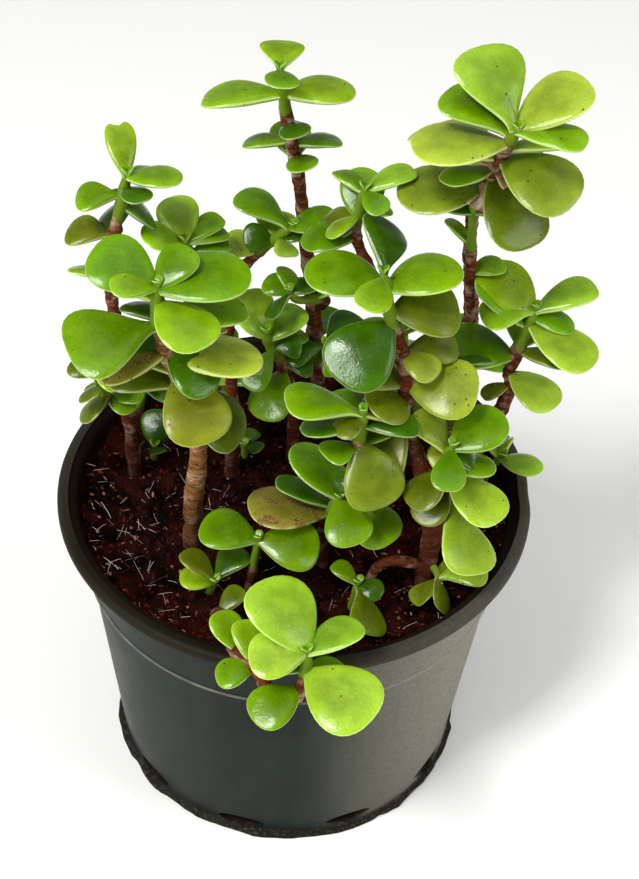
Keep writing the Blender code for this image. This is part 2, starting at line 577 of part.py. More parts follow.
class Growth:
    """One stem while it grows: its routes, its woody tube, its green core and its leaves."""

    def __init__(self, stem):
        self.stem = stem
        self.points = smooth_route(stem.route, STEM_STEP)
        self.length = route_length(self.points)
        self.start = 0.0
        self.leaves = []
        self.taken = []

    def radius(self, distance):
        """Return the stem's radius at a distance along it."""
        foot, tip = self.stem.radii
        return foot + (tip - foot) * min(1.0, max(0.0, distance / self.length))

    def stretch(self, start, end, sides, grow=0.0):
        """Return the closed tube between two distances."""
        points = cut_route(self.points, start, end)
        return tube(points, lambda t: self.radius(start + t * (end - start)) + grow, sides)

    def seat_on(self, carrier_tree):
        """Start the stem just clear of the stem that carries it."""
        while not is_clear(self.stretch(self.start, self.length, CORE_SIDES, GAP), [carrier_tree]):
            self.start += SEAT_STEP

    def wood(self):
        """Return the woody tube's shape, or None for a stem that is green all along."""
        if not self.stem.wood:
            return None
        points = cut_route(self.points, 0.0, self.stem.wood - GAP)
        points = [points[0] - Vector((0, 0, ROOT_DEPTH))] + points
        end = route_length(points)
        return tube(points, lambda t: self.radius(t * end - ROOT_DEPTH), STEM_SIDES)

    def arch(self):
        """Return the root that arches from the stem into the soil, or None."""
        if not self.stem.arch:
            return None
        points = smooth_route(self.stem.arch, ARCH_STEP)
        points.append(points[-1] - Vector((0, 0, ROOT_DEPTH)))
        thick, thin = ARCH_RADII
        return tube(points, lambda t: thick + (thin - thick) * t, STEM_SIDES)

    def core(self):
        """Return the green shoot's stem."""
        start = max(self.start, self.stem.wood)
        if self.stem.carrier != "soil" or self.stem.wood:
            return self.stretch(start, self.length, CORE_SIDES)
        points = [self.points[0] - Vector((0, 0, ROOT_DEPTH))] + cut_route(self.points, 0.0, self.length)
        end = route_length(points)
        return tube(points, lambda t: self.radius(t * end - ROOT_DEPTH), CORE_SIDES)

    def holes(self):
        """Return the cutters of the holes in the soil that the stem and its root stand in."""
        drop = Vector((0, 0, ROOT_DEPTH + GAP))
        points = cut_route(self.points, 0.0, COLLAR_HEIGHT)
        sides = STEM_SIDES if self.stem.wood else CORE_SIDES
        cutters = [hole_cutter([points[0] - drop] + points, self.stem.radii[0], sides)]
        if self.stem.arch:
            above, end = [Vector(p) for p in self.stem.arch[-2:]]
            cutters.append(hole_cutter([end - drop, end, above], ARCH_RADII[1] + ARCH_HOLE_EASE, STEM_SIDES))
        return cutters

    def tree(self):
        """Return the search tree of all that the stem has grown."""
        shapes = [shape for shape in (self.wood(), self.arch(), self.core()) if shape]
        return surface_tree(shapes + self.leaves)

    def grow_leaf(self, below_tip, heading, lift, length, roll, others):
        """Add one leaf, bent clear of the other stems."""
        base = point_at(self.points, self.length - max(below_tip, TIP_SINK))
        placed = place_leaf(base, (heading, lift, length, roll), others)
        if placed:
            self.leaves.append(placed)
            self.taken.append((below_tip, heading))

    def has_leaf_near(self, below_tip, heading):
        """Return whether a leaf already grows near that place and heading."""
        for other_place, other_heading in self.taken:
            apart = abs((heading - other_heading + 180) % 360 - 180)
            if abs(other_place - below_tip) < PARTNER_SPACING and apart < PARTNER_SPREAD:
                return True
        return False


def faces_front(heading):
    """Return whether a heading points to the plant's front half."""
    return math.sin(math.radians(heading)) < FRONT_SINE


def grow_plant(ground):
    """Return every stem, grown with its leaves clear of the pot, the soil and each other.

    The listed leaves come first. Leaves grow in opposite pairs, so each one that faces
    the front then gets its partner behind it, where the plant leaves room for one.
    """
    growths = {stem.name: Growth(stem) for stem in STEMS}
    for growth in growths.values():
        if growth.stem.carrier != "soil":
            growth.seat_on(growths[growth.stem.carrier].tree())
    trees = {name: growth.tree() for name, growth in growths.items()}

    def others(growth):
        own_wood = [shape for shape in (growth.wood(), growth.arch()) if shape]
        near = [tree for name, tree in trees.items() if name != growth.stem.name]
        return near + [ground, surface_tree(own_wood)] if own_wood else near + [ground]

    for growth in growths.values():
        for spec in growth.stem.leaves:
            growth.grow_leaf(*spec, others(growth))
        trees[growth.stem.name] = growth.tree()
    for growth in growths.values():
        for below_tip, heading, lift, length, roll in growth.stem.leaves:
            opposite = (heading + 180) % 360
            partner = (below_tip, opposite, max(lift, 0), length * PARTNER_SHARE, 0)
            if faces_front(heading) and not growth.has_leaf_near(below_tip, opposite):
                growth.grow_leaf(*partner, others(growth))
        trees[growth.stem.name] = growth.tree()
    return growths


def build_stem(growth):
    """Make the woody stem's node and the leafy shoot's node of one stem."""
    name = growth.stem.name
    wood = growth.wood()
    if wood:
        trunk = add_object("wood_" + name, *wood, "bark")
        arch = growth.arch()
        if arch:
            apply_boolean(trunk, [add_object("arch", *arch, "bark")], "UNION")
    shoot = add_object("shoot_" + name, *growth.core(), "leaf")
    blades = [add_object("blade", *shape, "leaf") for shape in growth.leaves]
    if blades:
        apply_boolean(shoot, blades, "UNION")


def object_shape(obj):
    """Return the points, in millimetres, and the faces of an object."""
    return [v.co / MM for v in obj.data.vertices], [tuple(p.vertices) for p in obj.data.polygons]


def build():
    """Build the whole potted plant."""
    clear_scene()
    pot = build_pot()
    holes = [cutter for stem in STEMS if stem.carrier == "soil" for cutter in Growth(stem).holes()]
    soil = build_soil(holes)
    ground = surface_tree([object_shape(pot), object_shape(soil)])
    for growth in grow_plant(ground).values():
        build_stem(growth)


build()
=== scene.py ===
"""Dress the potted jade plant: moulded pot, peat and coir, bark, green shoots and glossy leaves.

Plant sizes are millimetres and degrees; a mesh is made in metres with +Z up. The origin is the
middle of the pot's foot, -Y is the plant's front and every piece stays where its solid is.
"""
import json
import logging
import math
import random
from dataclasses import dataclass, field
from enum import Enum
from functools import partial
from typing import Any, Iterable, Optional, Sequence

import bpy
from bpy.types import Collection, Material, Mesh, Node, NodeSocket, NodeTree, Object
from mathutils import Matrix, Vector, noise
from mathutils.bvhtree import BVHTree

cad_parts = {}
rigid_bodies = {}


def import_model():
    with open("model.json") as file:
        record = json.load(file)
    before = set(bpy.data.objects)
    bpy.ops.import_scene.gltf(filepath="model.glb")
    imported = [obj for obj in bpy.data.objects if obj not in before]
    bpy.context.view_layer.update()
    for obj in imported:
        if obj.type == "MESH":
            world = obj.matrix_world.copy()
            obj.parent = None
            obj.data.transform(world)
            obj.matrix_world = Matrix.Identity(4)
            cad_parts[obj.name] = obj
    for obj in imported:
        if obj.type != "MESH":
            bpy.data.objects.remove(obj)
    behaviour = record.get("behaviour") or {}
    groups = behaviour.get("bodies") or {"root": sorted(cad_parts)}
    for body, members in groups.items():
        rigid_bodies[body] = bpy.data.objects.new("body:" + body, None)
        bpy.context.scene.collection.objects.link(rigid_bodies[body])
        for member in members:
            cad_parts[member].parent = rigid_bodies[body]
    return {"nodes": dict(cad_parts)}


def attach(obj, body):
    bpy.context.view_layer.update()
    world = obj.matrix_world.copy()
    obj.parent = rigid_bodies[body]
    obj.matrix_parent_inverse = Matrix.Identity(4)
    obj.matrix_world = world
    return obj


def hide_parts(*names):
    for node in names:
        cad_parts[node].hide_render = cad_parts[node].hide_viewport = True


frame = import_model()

LOG = logging.getLogger("jade_plant")
MM = 0.001

# Node types that come up often, and the numbered sockets of two of them
MATH = "ShaderNodeMath"
RANGE = "ShaderNodeMapRange"
MIX = "ShaderNodeMix"
NOISE = "ShaderNodeTexNoise"
TRAIT = "ShaderNodeAttribute"
BUMP = "ShaderNodeBump"
TINT = "ShaderNodeHueSaturation"
INSTANCE = "GeometryNodeGeometryToInstance"
RANDOM = "FunctionNodeRandomValue"
NAMED = "GeometryNodeInputNamedAttribute"
STORE = "GeometryNodeStoreNamedAttribute"
SKIN = "GeometryNodeCurveToMesh"
OF, LOW, HIGH, LEAST, MOST = range(5)
SHARE, UNDER, OVER = 0, 6, 7

Shape = tuple[list, list]
Colour = tuple[float, float, float, float]


def linear(code: str) -> Colour:
    """Turn an sRGB hex code into a linear colour.

    Args:
        code: six hex digits after a hash sign.

    Returns:
        Red, green, blue and an alpha of 1.
    """
    parts = [int(code[n:n + 2], 16) / 255 for n in (1, 3, 5)]
    return (*[c / 12.92 if c <= 0.04045 else ((c + 0.055) / 1.055) ** 2.4 for c in parts], 1.0)


def feed(tree: NodeTree, node: Node, inputs: dict[Any, Any]) -> None:
    """Give a node's inputs their values and links.

    Args:
        tree: the tree that the node is in.
        node: the node.
        inputs: for a socket's name or number, its value, or the node or output that feeds it, or a
            list of such where the socket takes several.
    """
    for key, given in inputs.items():
        for value in given if isinstance(given, list) else [given]:
            if isinstance(value, Node):
                value = next(output for output in value.outputs if output.enabled)
            if isinstance(value, NodeSocket):
                tree.links.new(value, node.inputs[key])
            else:
                node.inputs[key].default_value = value


def add_node(tree: NodeTree, kind: str, inputs: Optional[dict[Any, Any]] = None, **settings: Any) -> Node:
    """Add a node with its settings, values and links.

    Args:
        tree: the tree that gets the node.
        kind: the node's type name.
        inputs: what its sockets get, as feed takes it.
        settings: the node's own properties.

    Returns:
        The new node.
    """
    made = tree.nodes.new(kind)
    for name, value in settings.items():
        setattr(made, name, value)
    feed(tree, made, inputs or {})
    return made


def smooth_share(value: float) -> float:
    """Return a share eased at both ends, held between 0 and 1."""
    value = min(1.0, max(0.0, value))
    return value * value * (3 - 2 * value)


# Finishes

@dataclass(frozen=True)
class Finish:
    """A surface finish, made once as a material and then shared."""

    name: str

    def material(self) -> Material:
        """Return the finish's material."""
        found = bpy.data.materials.get(self.name)
        if found:
            return found
        made = bpy.data.materials.new(self.name)
        made.use_nodes = True
        self.dress(made.node_tree, made.node_tree.nodes["Principled BSDF"])
        return made

    def dress(self, tree: NodeTree, shader: Node) -> None:
        """Add the finish's nodes; each finish has its own."""

    def frequency(self, cell_mm: float) -> float:
        """Return a texture's scale for cells of a real size."""
        return 1 / (cell_mm * MM)


@dataclass(frozen=True)
class MouldedPolypropylene(Finish):
    """Recycled black-green polypropylene, injection moulded: a satin skin, clouded and scuffed.

    A film of pale dust with painted sheen lies on its right side and a little high on its left, and a
    pale line of dust and painted highlight runs along the step's ledge. The rim is olive with grime,
    the inside is stained dark by the soil and with painted shade, and the foot is darker with mud and
    painted shade.
    """

    name: str = "moulded_polypropylene"
    body: str = "#0c1612"
    clouded: str = "#17221d"
    # Pale dust, also the colour of the painted sheen on the sides.
    dust_and_sheen: str = "#989588"
    grime: str = "#1a160b"
    # Soil stain inside the pot, also standing for the painted shade in there.
    stain_and_shade: str = "#160a05"
    # The foot's colour: mud and painted shade.
    mud_and_shade: str = "#19150c"
    peel_mm: float = 0.8
    mote_mm: float = 0.9
    scuff_mm: float = 7.0
    cloud_mm: float = 26.0
    # The side where the dust and painted sheen lie thickest.
    dust_and_sheen_side: tuple[float, float, float] = (0.93, -0.36, 0.0)
    rim_mm: float = 87.4
    step_mm: float = 68.75
    foot_mm: float = 3.2

    def dress(self, tree: NodeTree, shader: Node) -> None:
        """Cloud the body, film it with dust and painted sheen by side, paint a pale line of dust and
        highlight on the step's ledge, grime its rim, darken its inside with soil stain and painted shade and
        its foot with mud and painted shade, and give it the fine peel of a mould.

        Args:
            tree: the material's node tree.
            shader: its Principled shader.
        """
        node = partial(add_node, tree)
        place = node("ShaderNodeTexCoord").outputs["Object"]
        upright = node("ShaderNodeMapping", {"Vector": place, "Scale": (1, 1, 0.25)})
        cloud = node(NOISE, {"Vector": place, "Scale": self.frequency(self.cloud_mm), "Detail": 3})
        cloudy = node(RANGE, {OF: cloud, LOW: 0.36, HIGH: 0.68})
        height = node("ShaderNodeSeparateXYZ", {0: place}).outputs["Z"]
        scuff = node(NOISE, {"Vector": upright, "Scale": self.frequency(self.scuff_mm), "Detail": 5})
        scuffed = node(RANGE, {OF: scuff, LOW: 0.5, HIGH: 0.8, MOST: 0.03})
        motes = node(NOISE, {"Vector": place, "Scale": self.frequency(self.mote_mm), "Detail": 2})
        speckled = node(RANGE, {OF: motes, LOW: 0.35, HIGH: 0.65, LEAST: 0.86, MOST: 1.14})
        # A film of dust and painted sheen: strongest on the right side and a little high on the left, where
        # the wall takes a sheen.
        aside = node("ShaderNodeVectorMath", {0: place, 1: self.dust_and_sheen_side}, operation="DOT_PRODUCT")
        right = node(RANGE, {OF: aside.outputs["Value"], LOW: 22 * MM, HIGH: 62 * MM, MOST: 0.85},
                     interpolation_type="SMOOTHSTEP")
        left = node(RANGE, {OF: aside.outputs["Value"], LOW: -38 * MM, HIGH: -60 * MM, MOST: 0.3})
        high = node(RANGE, {OF: height, LOW: 15 * MM, HIGH: 70 * MM})
        left = node(MATH, {0: left, 1: high}, operation="MULTIPLY")
        # A pale line of dust and painted highlight along the step's ledge.
        ledge = node(MATH, {0: height, 1: self.step_mm * MM, 2: 0.3 * MM}, operation="COMPARE")
        ledge_dust_and_highlight = node(MATH, {0: ledge, 1: scuff}, operation="MULTIPLY")
        dust_and_sheen_film = node(MATH, {0: right, 1: left}, operation="ADD")
        dust_and_sheen_film = node(MATH, {0: ledge_dust_and_highlight, 1: 0.7, 2: dust_and_sheen_film}, operation="MULTIPLY_ADD")
        dust_and_sheen_film = node(MATH, {0: dust_and_sheen_film, 1: speckled, 2: scuffed}, operation="MULTIPLY_ADD")
        # The inside: soil stain and painted shade.
        stain_and_shade_share = node(TRAIT, attribute_name="inside").outputs["Fac"]
        rim = node(RANGE, {OF: height, LOW: self.rim_mm * MM, HIGH: (self.rim_mm + 0.5) * MM})
        # Darker at the foot: mud and painted shade, flecked with pale dust.
        mud_and_shade_share = node(RANGE, {OF: height, LOW: self.foot_mm * MM, HIGH: (self.foot_mm - 1) * MM, MOST: 0.95})
        spared = node(RANGE, {OF: rim, LEAST: 1.0, MOST: 0.22})
        dust_and_sheen_share = node(MATH, {0: dust_and_sheen_film, 1: spared}, operation="MULTIPLY")
        colour = node(MIX, {SHARE: cloudy, UNDER: linear(self.body), OVER: linear(self.clouded)},
                      data_type="RGBA")
        flecked = node(RANGE, {OF: motes, LOW: 0.5, HIGH: 0.8, MOST: 0.16})
        flecked_mud_and_shade = node(MIX, {SHARE: flecked, UNDER: linear(self.mud_and_shade), OVER: linear(self.dust_and_sheen)},
                     data_type="RGBA")
        # Over the body: grime on the rim, dust and painted sheen, mud and painted shade at the foot, soil
        # stain and painted shade inside.
        for share, over in ((rim, linear(self.grime)), (dust_and_sheen_share, linear(self.dust_and_sheen)), (mud_and_shade_share, flecked_mud_and_shade),
                            (stain_and_shade_share, linear(self.stain_and_shade))):
            colour = node(MIX, {SHARE: share, UNDER: colour, OVER: over}, data_type="RGBA")
        satin = node(RANGE, {OF: cloudy, LEAST: 0.32, MOST: 0.44})
        matt = dust_and_sheen_share
        for share, rise in ((stain_and_shade_share, 0.5), (mud_and_shade_share, 0.4), (rim, 0.25)):
            matt = node(MATH, {0: share, 1: rise, 2: matt}, operation="MULTIPLY_ADD")
        rough = node(MATH, {0: satin, 1: matt}, operation="ADD", use_clamp=True)
        peel = node(NOISE, {"Vector": place, "Scale": self.frequency(self.peel_mm)})
        sink = node(BUMP, {"Height": cloud, "Distance": 0.8 * MM, "Strength": 0.25})
        skin = node(BUMP, {"Height": peel, "Distance": 0.05 * MM, "Strength": 0.35, "Normal": sink})
        feed(tree, shader, {"Base Color": colour, "Roughness": rough, "IOR": 1.49,
                            "Specular IOR Level": 0.06, "Sheen Weight": 0.02, "Sheen Roughness": 0.45,
                            "Sheen Tint": linear(self.dust_and_sheen), "Normal": skin})


@dataclass(frozen=True)
class PeatAndCoir(Finish):
    """Moist peat with shredded coir: near-black red-brown, with painted shade in its hollows, matt, with
    crumbs from black to pale husk.
    """

    name: str = "peat_and_coir"
    # Near-black of the hollows: damp peat and painted shade.
    damp_and_shade: str = "#060100"
    crumb: str = "#2e0d06"
    husk: str = "#5a2215"
    chip: str = "#b58872"
    crumb_mm: float = 1.1
    clod_mm: float = 6.0

    def dress(self, tree: NodeTree, shader: Node) -> None:
        """Paint the hollows near-black, damp peat with painted shade, and the heaps red-brown, and colour
        each loose crumb by its own tint.

        Args:
            tree: the material's node tree.
            shader: its Principled shader.
        """
        node = partial(add_node, tree)
        place = node("ShaderNodeTexCoord").outputs["Object"]
        clod = node(NOISE, {"Vector": place, "Scale": self.frequency(self.clod_mm), "Detail": 4})
        crumb = node(NOISE, {"Vector": place, "Scale": self.frequency(self.crumb_mm), "Detail": 3})
        # The clods' hollows are near-black, damp peat and painted shade; their heaps are red-brown.
        dry = node(RANGE, {OF: clod, LOW: 0.42, HIGH: 0.64})
        tint = node(TRAIT, attribute_name="tint").outputs["Fac"]
        husky = node(RANGE, {OF: tint, LOW: 0.45, HIGH: 1.0, MOST: 0.8})
        chipped = node(RANGE, {OF: tint, LOW: 0.95, HIGH: 1.0, MOST: 0.8})
        colour: Any = linear(self.damp_and_shade)
        for share, over in ((dry, self.crumb), (husky, self.husk), (chipped, self.chip)):
            colour = node(MIX, {SHARE: share, UNDER: colour, OVER: linear(over)}, data_type="RGBA")
        rough = node(RANGE, {OF: crumb, LOW: 0.3, HIGH: 0.7, LEAST: 0.6, MOST: 0.95})
        heaps = node(BUMP, {"Height": clod, "Distance": 1.5 * MM, "Strength": 0.7})
        grit = node(BUMP, {"Height": crumb, "Distance": 0.6 * MM, "Strength": 0.8, "Normal": heaps})
        feed(tree, shader, {"Base Color": colour, "Roughness": rough, "Specular IOR Level": 0.03,
                            "Normal": grit})


@dataclass(frozen=True)
class CoirFibre(Finish):
    """Dry coconut fibre: stiff, pale straw to rust strands with a faint sheen."""

    name: str = "coir_fibre"
    straw: str = "#fbeadc"
    rust: str = "#6a3624"
    strand_mm: float = 3.0

    def dress(self, tree: NodeTree, shader: Node) -> None:
        """Vary the strands from straw to rust, each by its own tint and a little along its length.

        Args:
            tree: the material's node tree.
            shader: its Principled shader.
        """
        node = partial(add_node, tree)
        place = node("ShaderNodeTexCoord").outputs["Object"]
        tint = node(TRAIT, attribute_name="tint").outputs["Fac"]
        patch = node(NOISE, {"Vector": place, "Scale": self.frequency(self.strand_mm), "Detail": 3})
        mixed = node(MATH, {0: patch, 1: 0.6, 2: tint}, operation="MULTIPLY_ADD")
        share = node(RANGE, {OF: mixed, LOW: 0.75, HIGH: 1.2})
        colour = node(MIX, {SHARE: share, UNDER: linear(self.straw), OVER: linear(self.rust)},
                      data_type="RGBA")
        feed(tree, shader, {"Base Color": colour, "Roughness": 0.6})


@dataclass(frozen=True)
class JadeStemSkin(Finish):
    """A jade stem: smooth green near the tip, corked over below with red-brown or tan ringed bark."""

    name: str = "jade_stem_skin"
    green: str = "#607b18"
    flush: str = "#5c4a1c"
    red_bark: str = "#642c14"
    tan_bark: str = "#8e6034"
    crack: str = "#220903"
    damp_foot: str = "#3c140a"
    scar: str = "#dcc0a0"
    fibre_mm: float = 1.3
    patch_mm: float = 4.5
    ring_mm: float = 3.3
    foot_mm: float = 30.0

    def dress(self, tree: NodeTree, shader: Node) -> None:
        """Blend skin into bark by age, wrinkle it crosswise, ring it at old leaf scars and damp its foot.

        Args:
            tree: the material's node tree.
            shader: its Principled shader.
        """
        node = partial(add_node, tree)
        place = node("ShaderNodeTexCoord").outputs["Object"]
        age, tone, along = (node(TRAIT, attribute_name=name).outputs["Fac"]
                            for name in ("age", "bark_tone", "along_mm"))
        level = node("ShaderNodeMapping", {"Vector": place, "Scale": (0.45, 0.45, 2.0)})
        fibre = node(NOISE, {"Vector": level, "Scale": self.frequency(self.fibre_mm), "Detail": 4})
        patch = node(NOISE, {"Vector": place, "Scale": self.frequency(self.patch_mm), "Detail": 4})
        pale = node(RANGE, {OF: patch, LOW: 0.51, HIGH: 0.62, MOST: 0.42})
        cracked = node(RANGE, {OF: fibre, LOW: 0.5, HIGH: 0.42, MOST: 0.62})
        shifted = node(MATH, {0: patch, 1: 11.0, 2: along}, operation="MULTIPLY_ADD")
        near_ring = node(MATH, {0: shifted, 1: self.ring_mm / 2}, operation="PINGPONG")
        lip = node(RANGE, {OF: near_ring, LOW: 0.6, HIGH: 0.3, MOST: 0.18})
        broken = node(MATH, {0: lip, 1: fibre}, operation="MULTIPLY")
        whole = node(RANGE, {OF: patch, LOW: 0.4, HIGH: 0.55, LEAST: 0.7, MOST: 0.1})
        ring = node(RANGE, {OF: near_ring, LOW: 0.3, HIGH: 0.1, MOST: whole})
        footed = node(RANGE, {OF: along, LOW: self.foot_mm, HIGH: 4.0, MOST: 0.8})
        bark: Any = linear(self.red_bark)
        for share, over in ((tone, self.tan_bark), (pale, self.scar), (cracked, self.crack),
                            (broken, self.scar), (ring, self.crack), (footed, self.damp_foot)):
            bark = node(MIX, {SHARE: share, UNDER: bark, OVER: linear(over)}, data_type="RGBA")
        flushed = node(RANGE, {OF: patch, LOW: 0.4, HIGH: 0.7, MOST: 0.6})
        ageing = node(MATH, {0: flushed, 1: age}, operation="MULTIPLY")
        skin = node(MIX, {SHARE: ageing, UNDER: linear(self.green), OVER: linear(self.flush)},
                    data_type="RGBA")
        uneven = node(MATH, {0: patch, 1: 0.9, 2: age}, operation="MULTIPLY_ADD")
        share = node(RANGE, {OF: uneven, LOW: 0.8, HIGH: 1.1})
        colour = node(MIX, {SHARE: share, UNDER: skin, OVER: bark}, data_type="RGBA")
        rough = node(RANGE, {OF: share, LEAST: 0.42, MOST: 0.8})
        ridged = node(MATH, {0: ring, 1: -0.5, 2: fibre}, operation="MULTIPLY_ADD")
        height = node(MATH, {0: ridged, 1: share}, operation="MULTIPLY")
        lumps = node(BUMP, {"Height": patch, "Distance": 0.5 * MM, "Strength": 0.4})
        rind = node(BUMP, {"Height": height, "Distance": 0.4 * MM, "Strength": 0.9, "Normal": lumps})
        feed(tree, shader, {"Base Color": colour, "Roughness": rough, "Specular IOR Level": 0.06,
                            "Normal": rind})


@dataclass(frozen=True)
class JadeLeafSkin(Finish):
    """A jade leaf: taut waxy skin over wet flesh, glossy, with painted shade towards its base and middle, a
    clear margin with a painted highlight, pin specks and brown scars.
    """

    name: str = "jade_leaf_skin"
    # The pale margin's colour, which also paints a highlight along the rounded edge.
    rim: str = "#d6e39a"
    speck: str = "#231c06"
    scar_dark: str = "#4a2c12"
    scar_tan: str = "#9a7436"
    mottle_mm: float = 4.5
    pore_mm: float = 0.55
    gland_mm: float = 1.5
    speck_cell_mm: float = 2.3
    blotch_mm: float = 3.6

    def dress(self, tree: NodeTree, shader: Node) -> None:
        """Paint shade towards the base and middle, and layer mottling, underside, a margin with a painted
        highlight, specks and scars over each leaf's tone.

        Args:
            tree: the material's node tree.
            shader: its Principled shader.
        """
        node = partial(add_node, tree)
        place = node("ShaderNodeTexCoord").outputs["Object"]
        own = node(TRAIT, attribute_name="leaf_colour").outputs["Color"]
        wear, margin, along, upper, spread = (
            node(TRAIT, attribute_name=name).outputs["Fac"]
            for name in ("wear", "margin", "along", "upper", "spread"))
        mottle = node(NOISE, {"Vector": place, "Scale": self.frequency(self.mottle_mm), "Detail": 3})
        pore = node(NOISE, {"Vector": place, "Scale": self.frequency(self.pore_mm)})
        blotch = node(NOISE, {"Vector": place, "Scale": self.frequency(self.blotch_mm), "Detail": 5})
        # Painted shade: darker towards the leaf's base and in its middle, lighter towards the margin; mottle
        # and pores vary it at random.
        base_shade = node(RANGE, {OF: along, LOW: 0.0, HIGH: 0.75, LEAST: 0.72, MOST: 1.04})
        centre_shade = node(RANGE, {OF: spread, LOW: 0.35, HIGH: 1.0, LEAST: 0.8, MOST: 1.16},
                      interpolation_type="SMOOTHSTEP")
        uneven = node(RANGE, {OF: mottle, LOW: 0.32, HIGH: 0.68, LEAST: 0.86, MOST: 1.12})
        porous = node(RANGE, {OF: pore, LOW: 0.3, HIGH: 0.7, LEAST: 0.9, MOST: 1.1})
        shade = base_shade
        for share in (centre_shade, uneven, porous):
            shade = node(MATH, {0: shade, 1: share}, operation="MULTIPLY")
        body = node(TINT, {"Value": shade, "Color": own})
        warm = node(TINT, {"Hue": 0.487, "Value": 1.12, "Color": own})
        warmed = node(RANGE, {OF: mottle, LOW: 0.5, HIGH: 0.75, MOST: 0.35})
        pale = node(TINT, {"Hue": 0.49, "Saturation": 0.86, "Value": 1.12, "Color": own})
        beneath = node(RANGE, {OF: upper, LOW: 0.5, HIGH: 0.0, MOST: 0.6})
        # The margin is painted pale: a clear margin with a painted highlight along its rounded edge; the
        # glands take the same pale colour.
        bright = node(TINT, {"Hue": 0.485, "Saturation": 0.8, "Value": 2.2, "Color": own})
        clear = node(MIX, {SHARE: 0.45, UNDER: bright, OVER: linear(self.rim)}, data_type="RGBA")
        edge = node(RANGE, {OF: margin, LOW: 0.25, HIGH: 1.0, MOST: 0.9})
        glands = node("ShaderNodeTexVoronoi", {"Vector": place, "Scale": self.frequency(self.gland_mm)})
        gland = node(RANGE, {OF: glands.outputs["Distance"], LOW: 0.2, HIGH: 0.05, MOST: 0.13})
        cells = node("ShaderNodeTexVoronoi", {"Vector": place, "Scale": self.frequency(self.speck_cell_mm)})
        chance = node("ShaderNodeSeparateColor", {0: cells.outputs["Color"]})
        spared = node(RANGE, {OF: wear, LEAST: 0.08, MOST: 0.9})
        kept = node(MATH, {0: chance, 1: spared}, operation="LESS_THAN")
        pin = node(RANGE, {OF: cells.outputs["Distance"], LOW: 0.14, HIGH: 0.09, MOST: 0.85})
        dot = node(MATH, {0: pin, 1: kept}, operation="MULTIPLY")
        worn = node(MATH, {0: wear, 1: 0.3, 2: blotch}, operation="MULTIPLY_ADD")
        scar = node(RANGE, {OF: worn, LOW: 0.82, HIGH: 0.88, MOST: 0.85})
        grain = node(RANGE, {OF: pore, LOW: 0.4, HIGH: 0.6})
        scab = node(MIX, {SHARE: grain, UNDER: linear(self.scar_dark), OVER: linear(self.scar_tan)},
                    data_type="RGBA")
        for share, over in ((warmed, warm), (beneath, pale), (edge, clear), (gland, clear),
                            (dot, linear(self.speck)), (scar, scab)):
            body = node(MIX, {SHARE: share, UNDER: body, OVER: over}, data_type="RGBA")
        satin = node(RANGE, {OF: mottle, LOW: 0.3, HIGH: 0.7, LEAST: 0.14, MOST: 0.22})
        dulled = node(MATH, {0: wear, 1: 0.2, 2: satin}, operation="MULTIPLY_ADD")
        rough = node(MATH, {0: scar, 1: 0.35, 2: dulled}, operation="MULTIPLY_ADD")
        swell = node(BUMP, {"Height": mottle, "Distance": 0.6 * MM, "Strength": 0.3})
        skin = node(BUMP, {"Height": pore, "Distance": 0.1 * MM, "Strength": 0.5, "Normal": swell})
        feed(tree, shader, {"Base Color": body, "Roughness": rough, "IOR": 1.45,
                            "Specular IOR Level": 0.3, "Subsurface Weight": 0.2,
                            "Subsurface Radius": (0.8, 1.0, 0.25), "Subsurface Scale": 1.2 * MM,
                            "Normal": skin})


@dataclass(frozen=True)
class WhiteLaminate(Finish):
    """The studio table: plain white laminate, matt."""

    name: str = "white_laminate"
    sheet: str = "#fafaf8"

    def dress(self, tree: NodeTree, shader: Node) -> None:
        """Set one plain matt colour."""
        feed(tree, shader, {"Base Color": linear(self.sheet), "Roughness": 0.7})


# What each stem and leaf is like

class Bark(Enum):
    """The two barks on this plant."""

    RED = 0.0
    TAN = 1.0


@dataclass(frozen=True)
class ToneLook:
    """A leaf's colour, lighter for some leaves as painted light, and how worn it is, from 0 for flawless to 1
    for scarred.
    """

    colour: str
    wear: float


class Tone(Enum):
    """Leaf colours, from the newest leaves to the oldest; the lighter ones are also given to some leaves as
    painted light.
    """

    LIME = "L"
    PALE_OLIVE = "P"
    FRESH = "F"
    GREEN = "G"
    DEEP = "D"
    MELLOW = "M"
    OLIVE = "O"
    YELLOWED = "Y"
    SCARRED = "S"
    DRY = "X"


TONE_LOOKS = {
    Tone.LIME: ToneLook("#87ae28", 0.05),
    Tone.PALE_OLIVE: ToneLook("#98b232", 0.35),
    Tone.FRESH: ToneLook("#7ca30d", 0.1),
    Tone.GREEN: ToneLook("#5f8b00", 0.1),
    Tone.DEEP: ToneLook("#376000", 0.15),
    Tone.OLIVE: ToneLook("#5b6a03", 0.5),
    Tone.MELLOW: ToneLook("#798c1e", 0.5),
    Tone.YELLOWED: ToneLook("#707d12", 0.6),
    Tone.SCARRED: ToneLook("#7c7d26", 1.0),
    Tone.DRY: ToneLook("#9a7258", 1.0),
}


class Form(Enum):
    """Leaf outlines on this plant."""

    ROUND = "r"
    SPOON = "s"
    EGG = "e"
    OBLONG = "o"
    CUPPED = "c"
    NOTCHED = "n"


@dataclass(frozen=True)
class StemPlan:
    """One stem with its leaves, close to where the solids have them.

    A stem starts in the soil, or on the stem named by carrier, and its route runs to its tip. Wood is
    the length of bare woody stem below the green shoot, and the radii are at the foot and the tip. A
    leaf is (distance below the tip, heading, lift, length, roll). Looks holds a tone letter and, where
    it is known, a form letter for each leaf. Green is how far below the tip the skin stays green. An
    arch is the route of a root that leaves the woody stem and dives into the soil. Lone is the distance
    below the tip of a leaf that has lost its partner.
    """

    name: str
    carrier: str
    route: tuple[tuple[float, float, float], ...]
    wood: float
    radii: tuple[float, float]
    leaves: tuple[tuple[float, float, float, float, float], ...]
    looks: str
    arch: Optional[tuple[tuple[float, float, float], ...]] = None
    lone: Optional[float] = None
    green: float = 12.0
    bark: Bark = Bark.RED
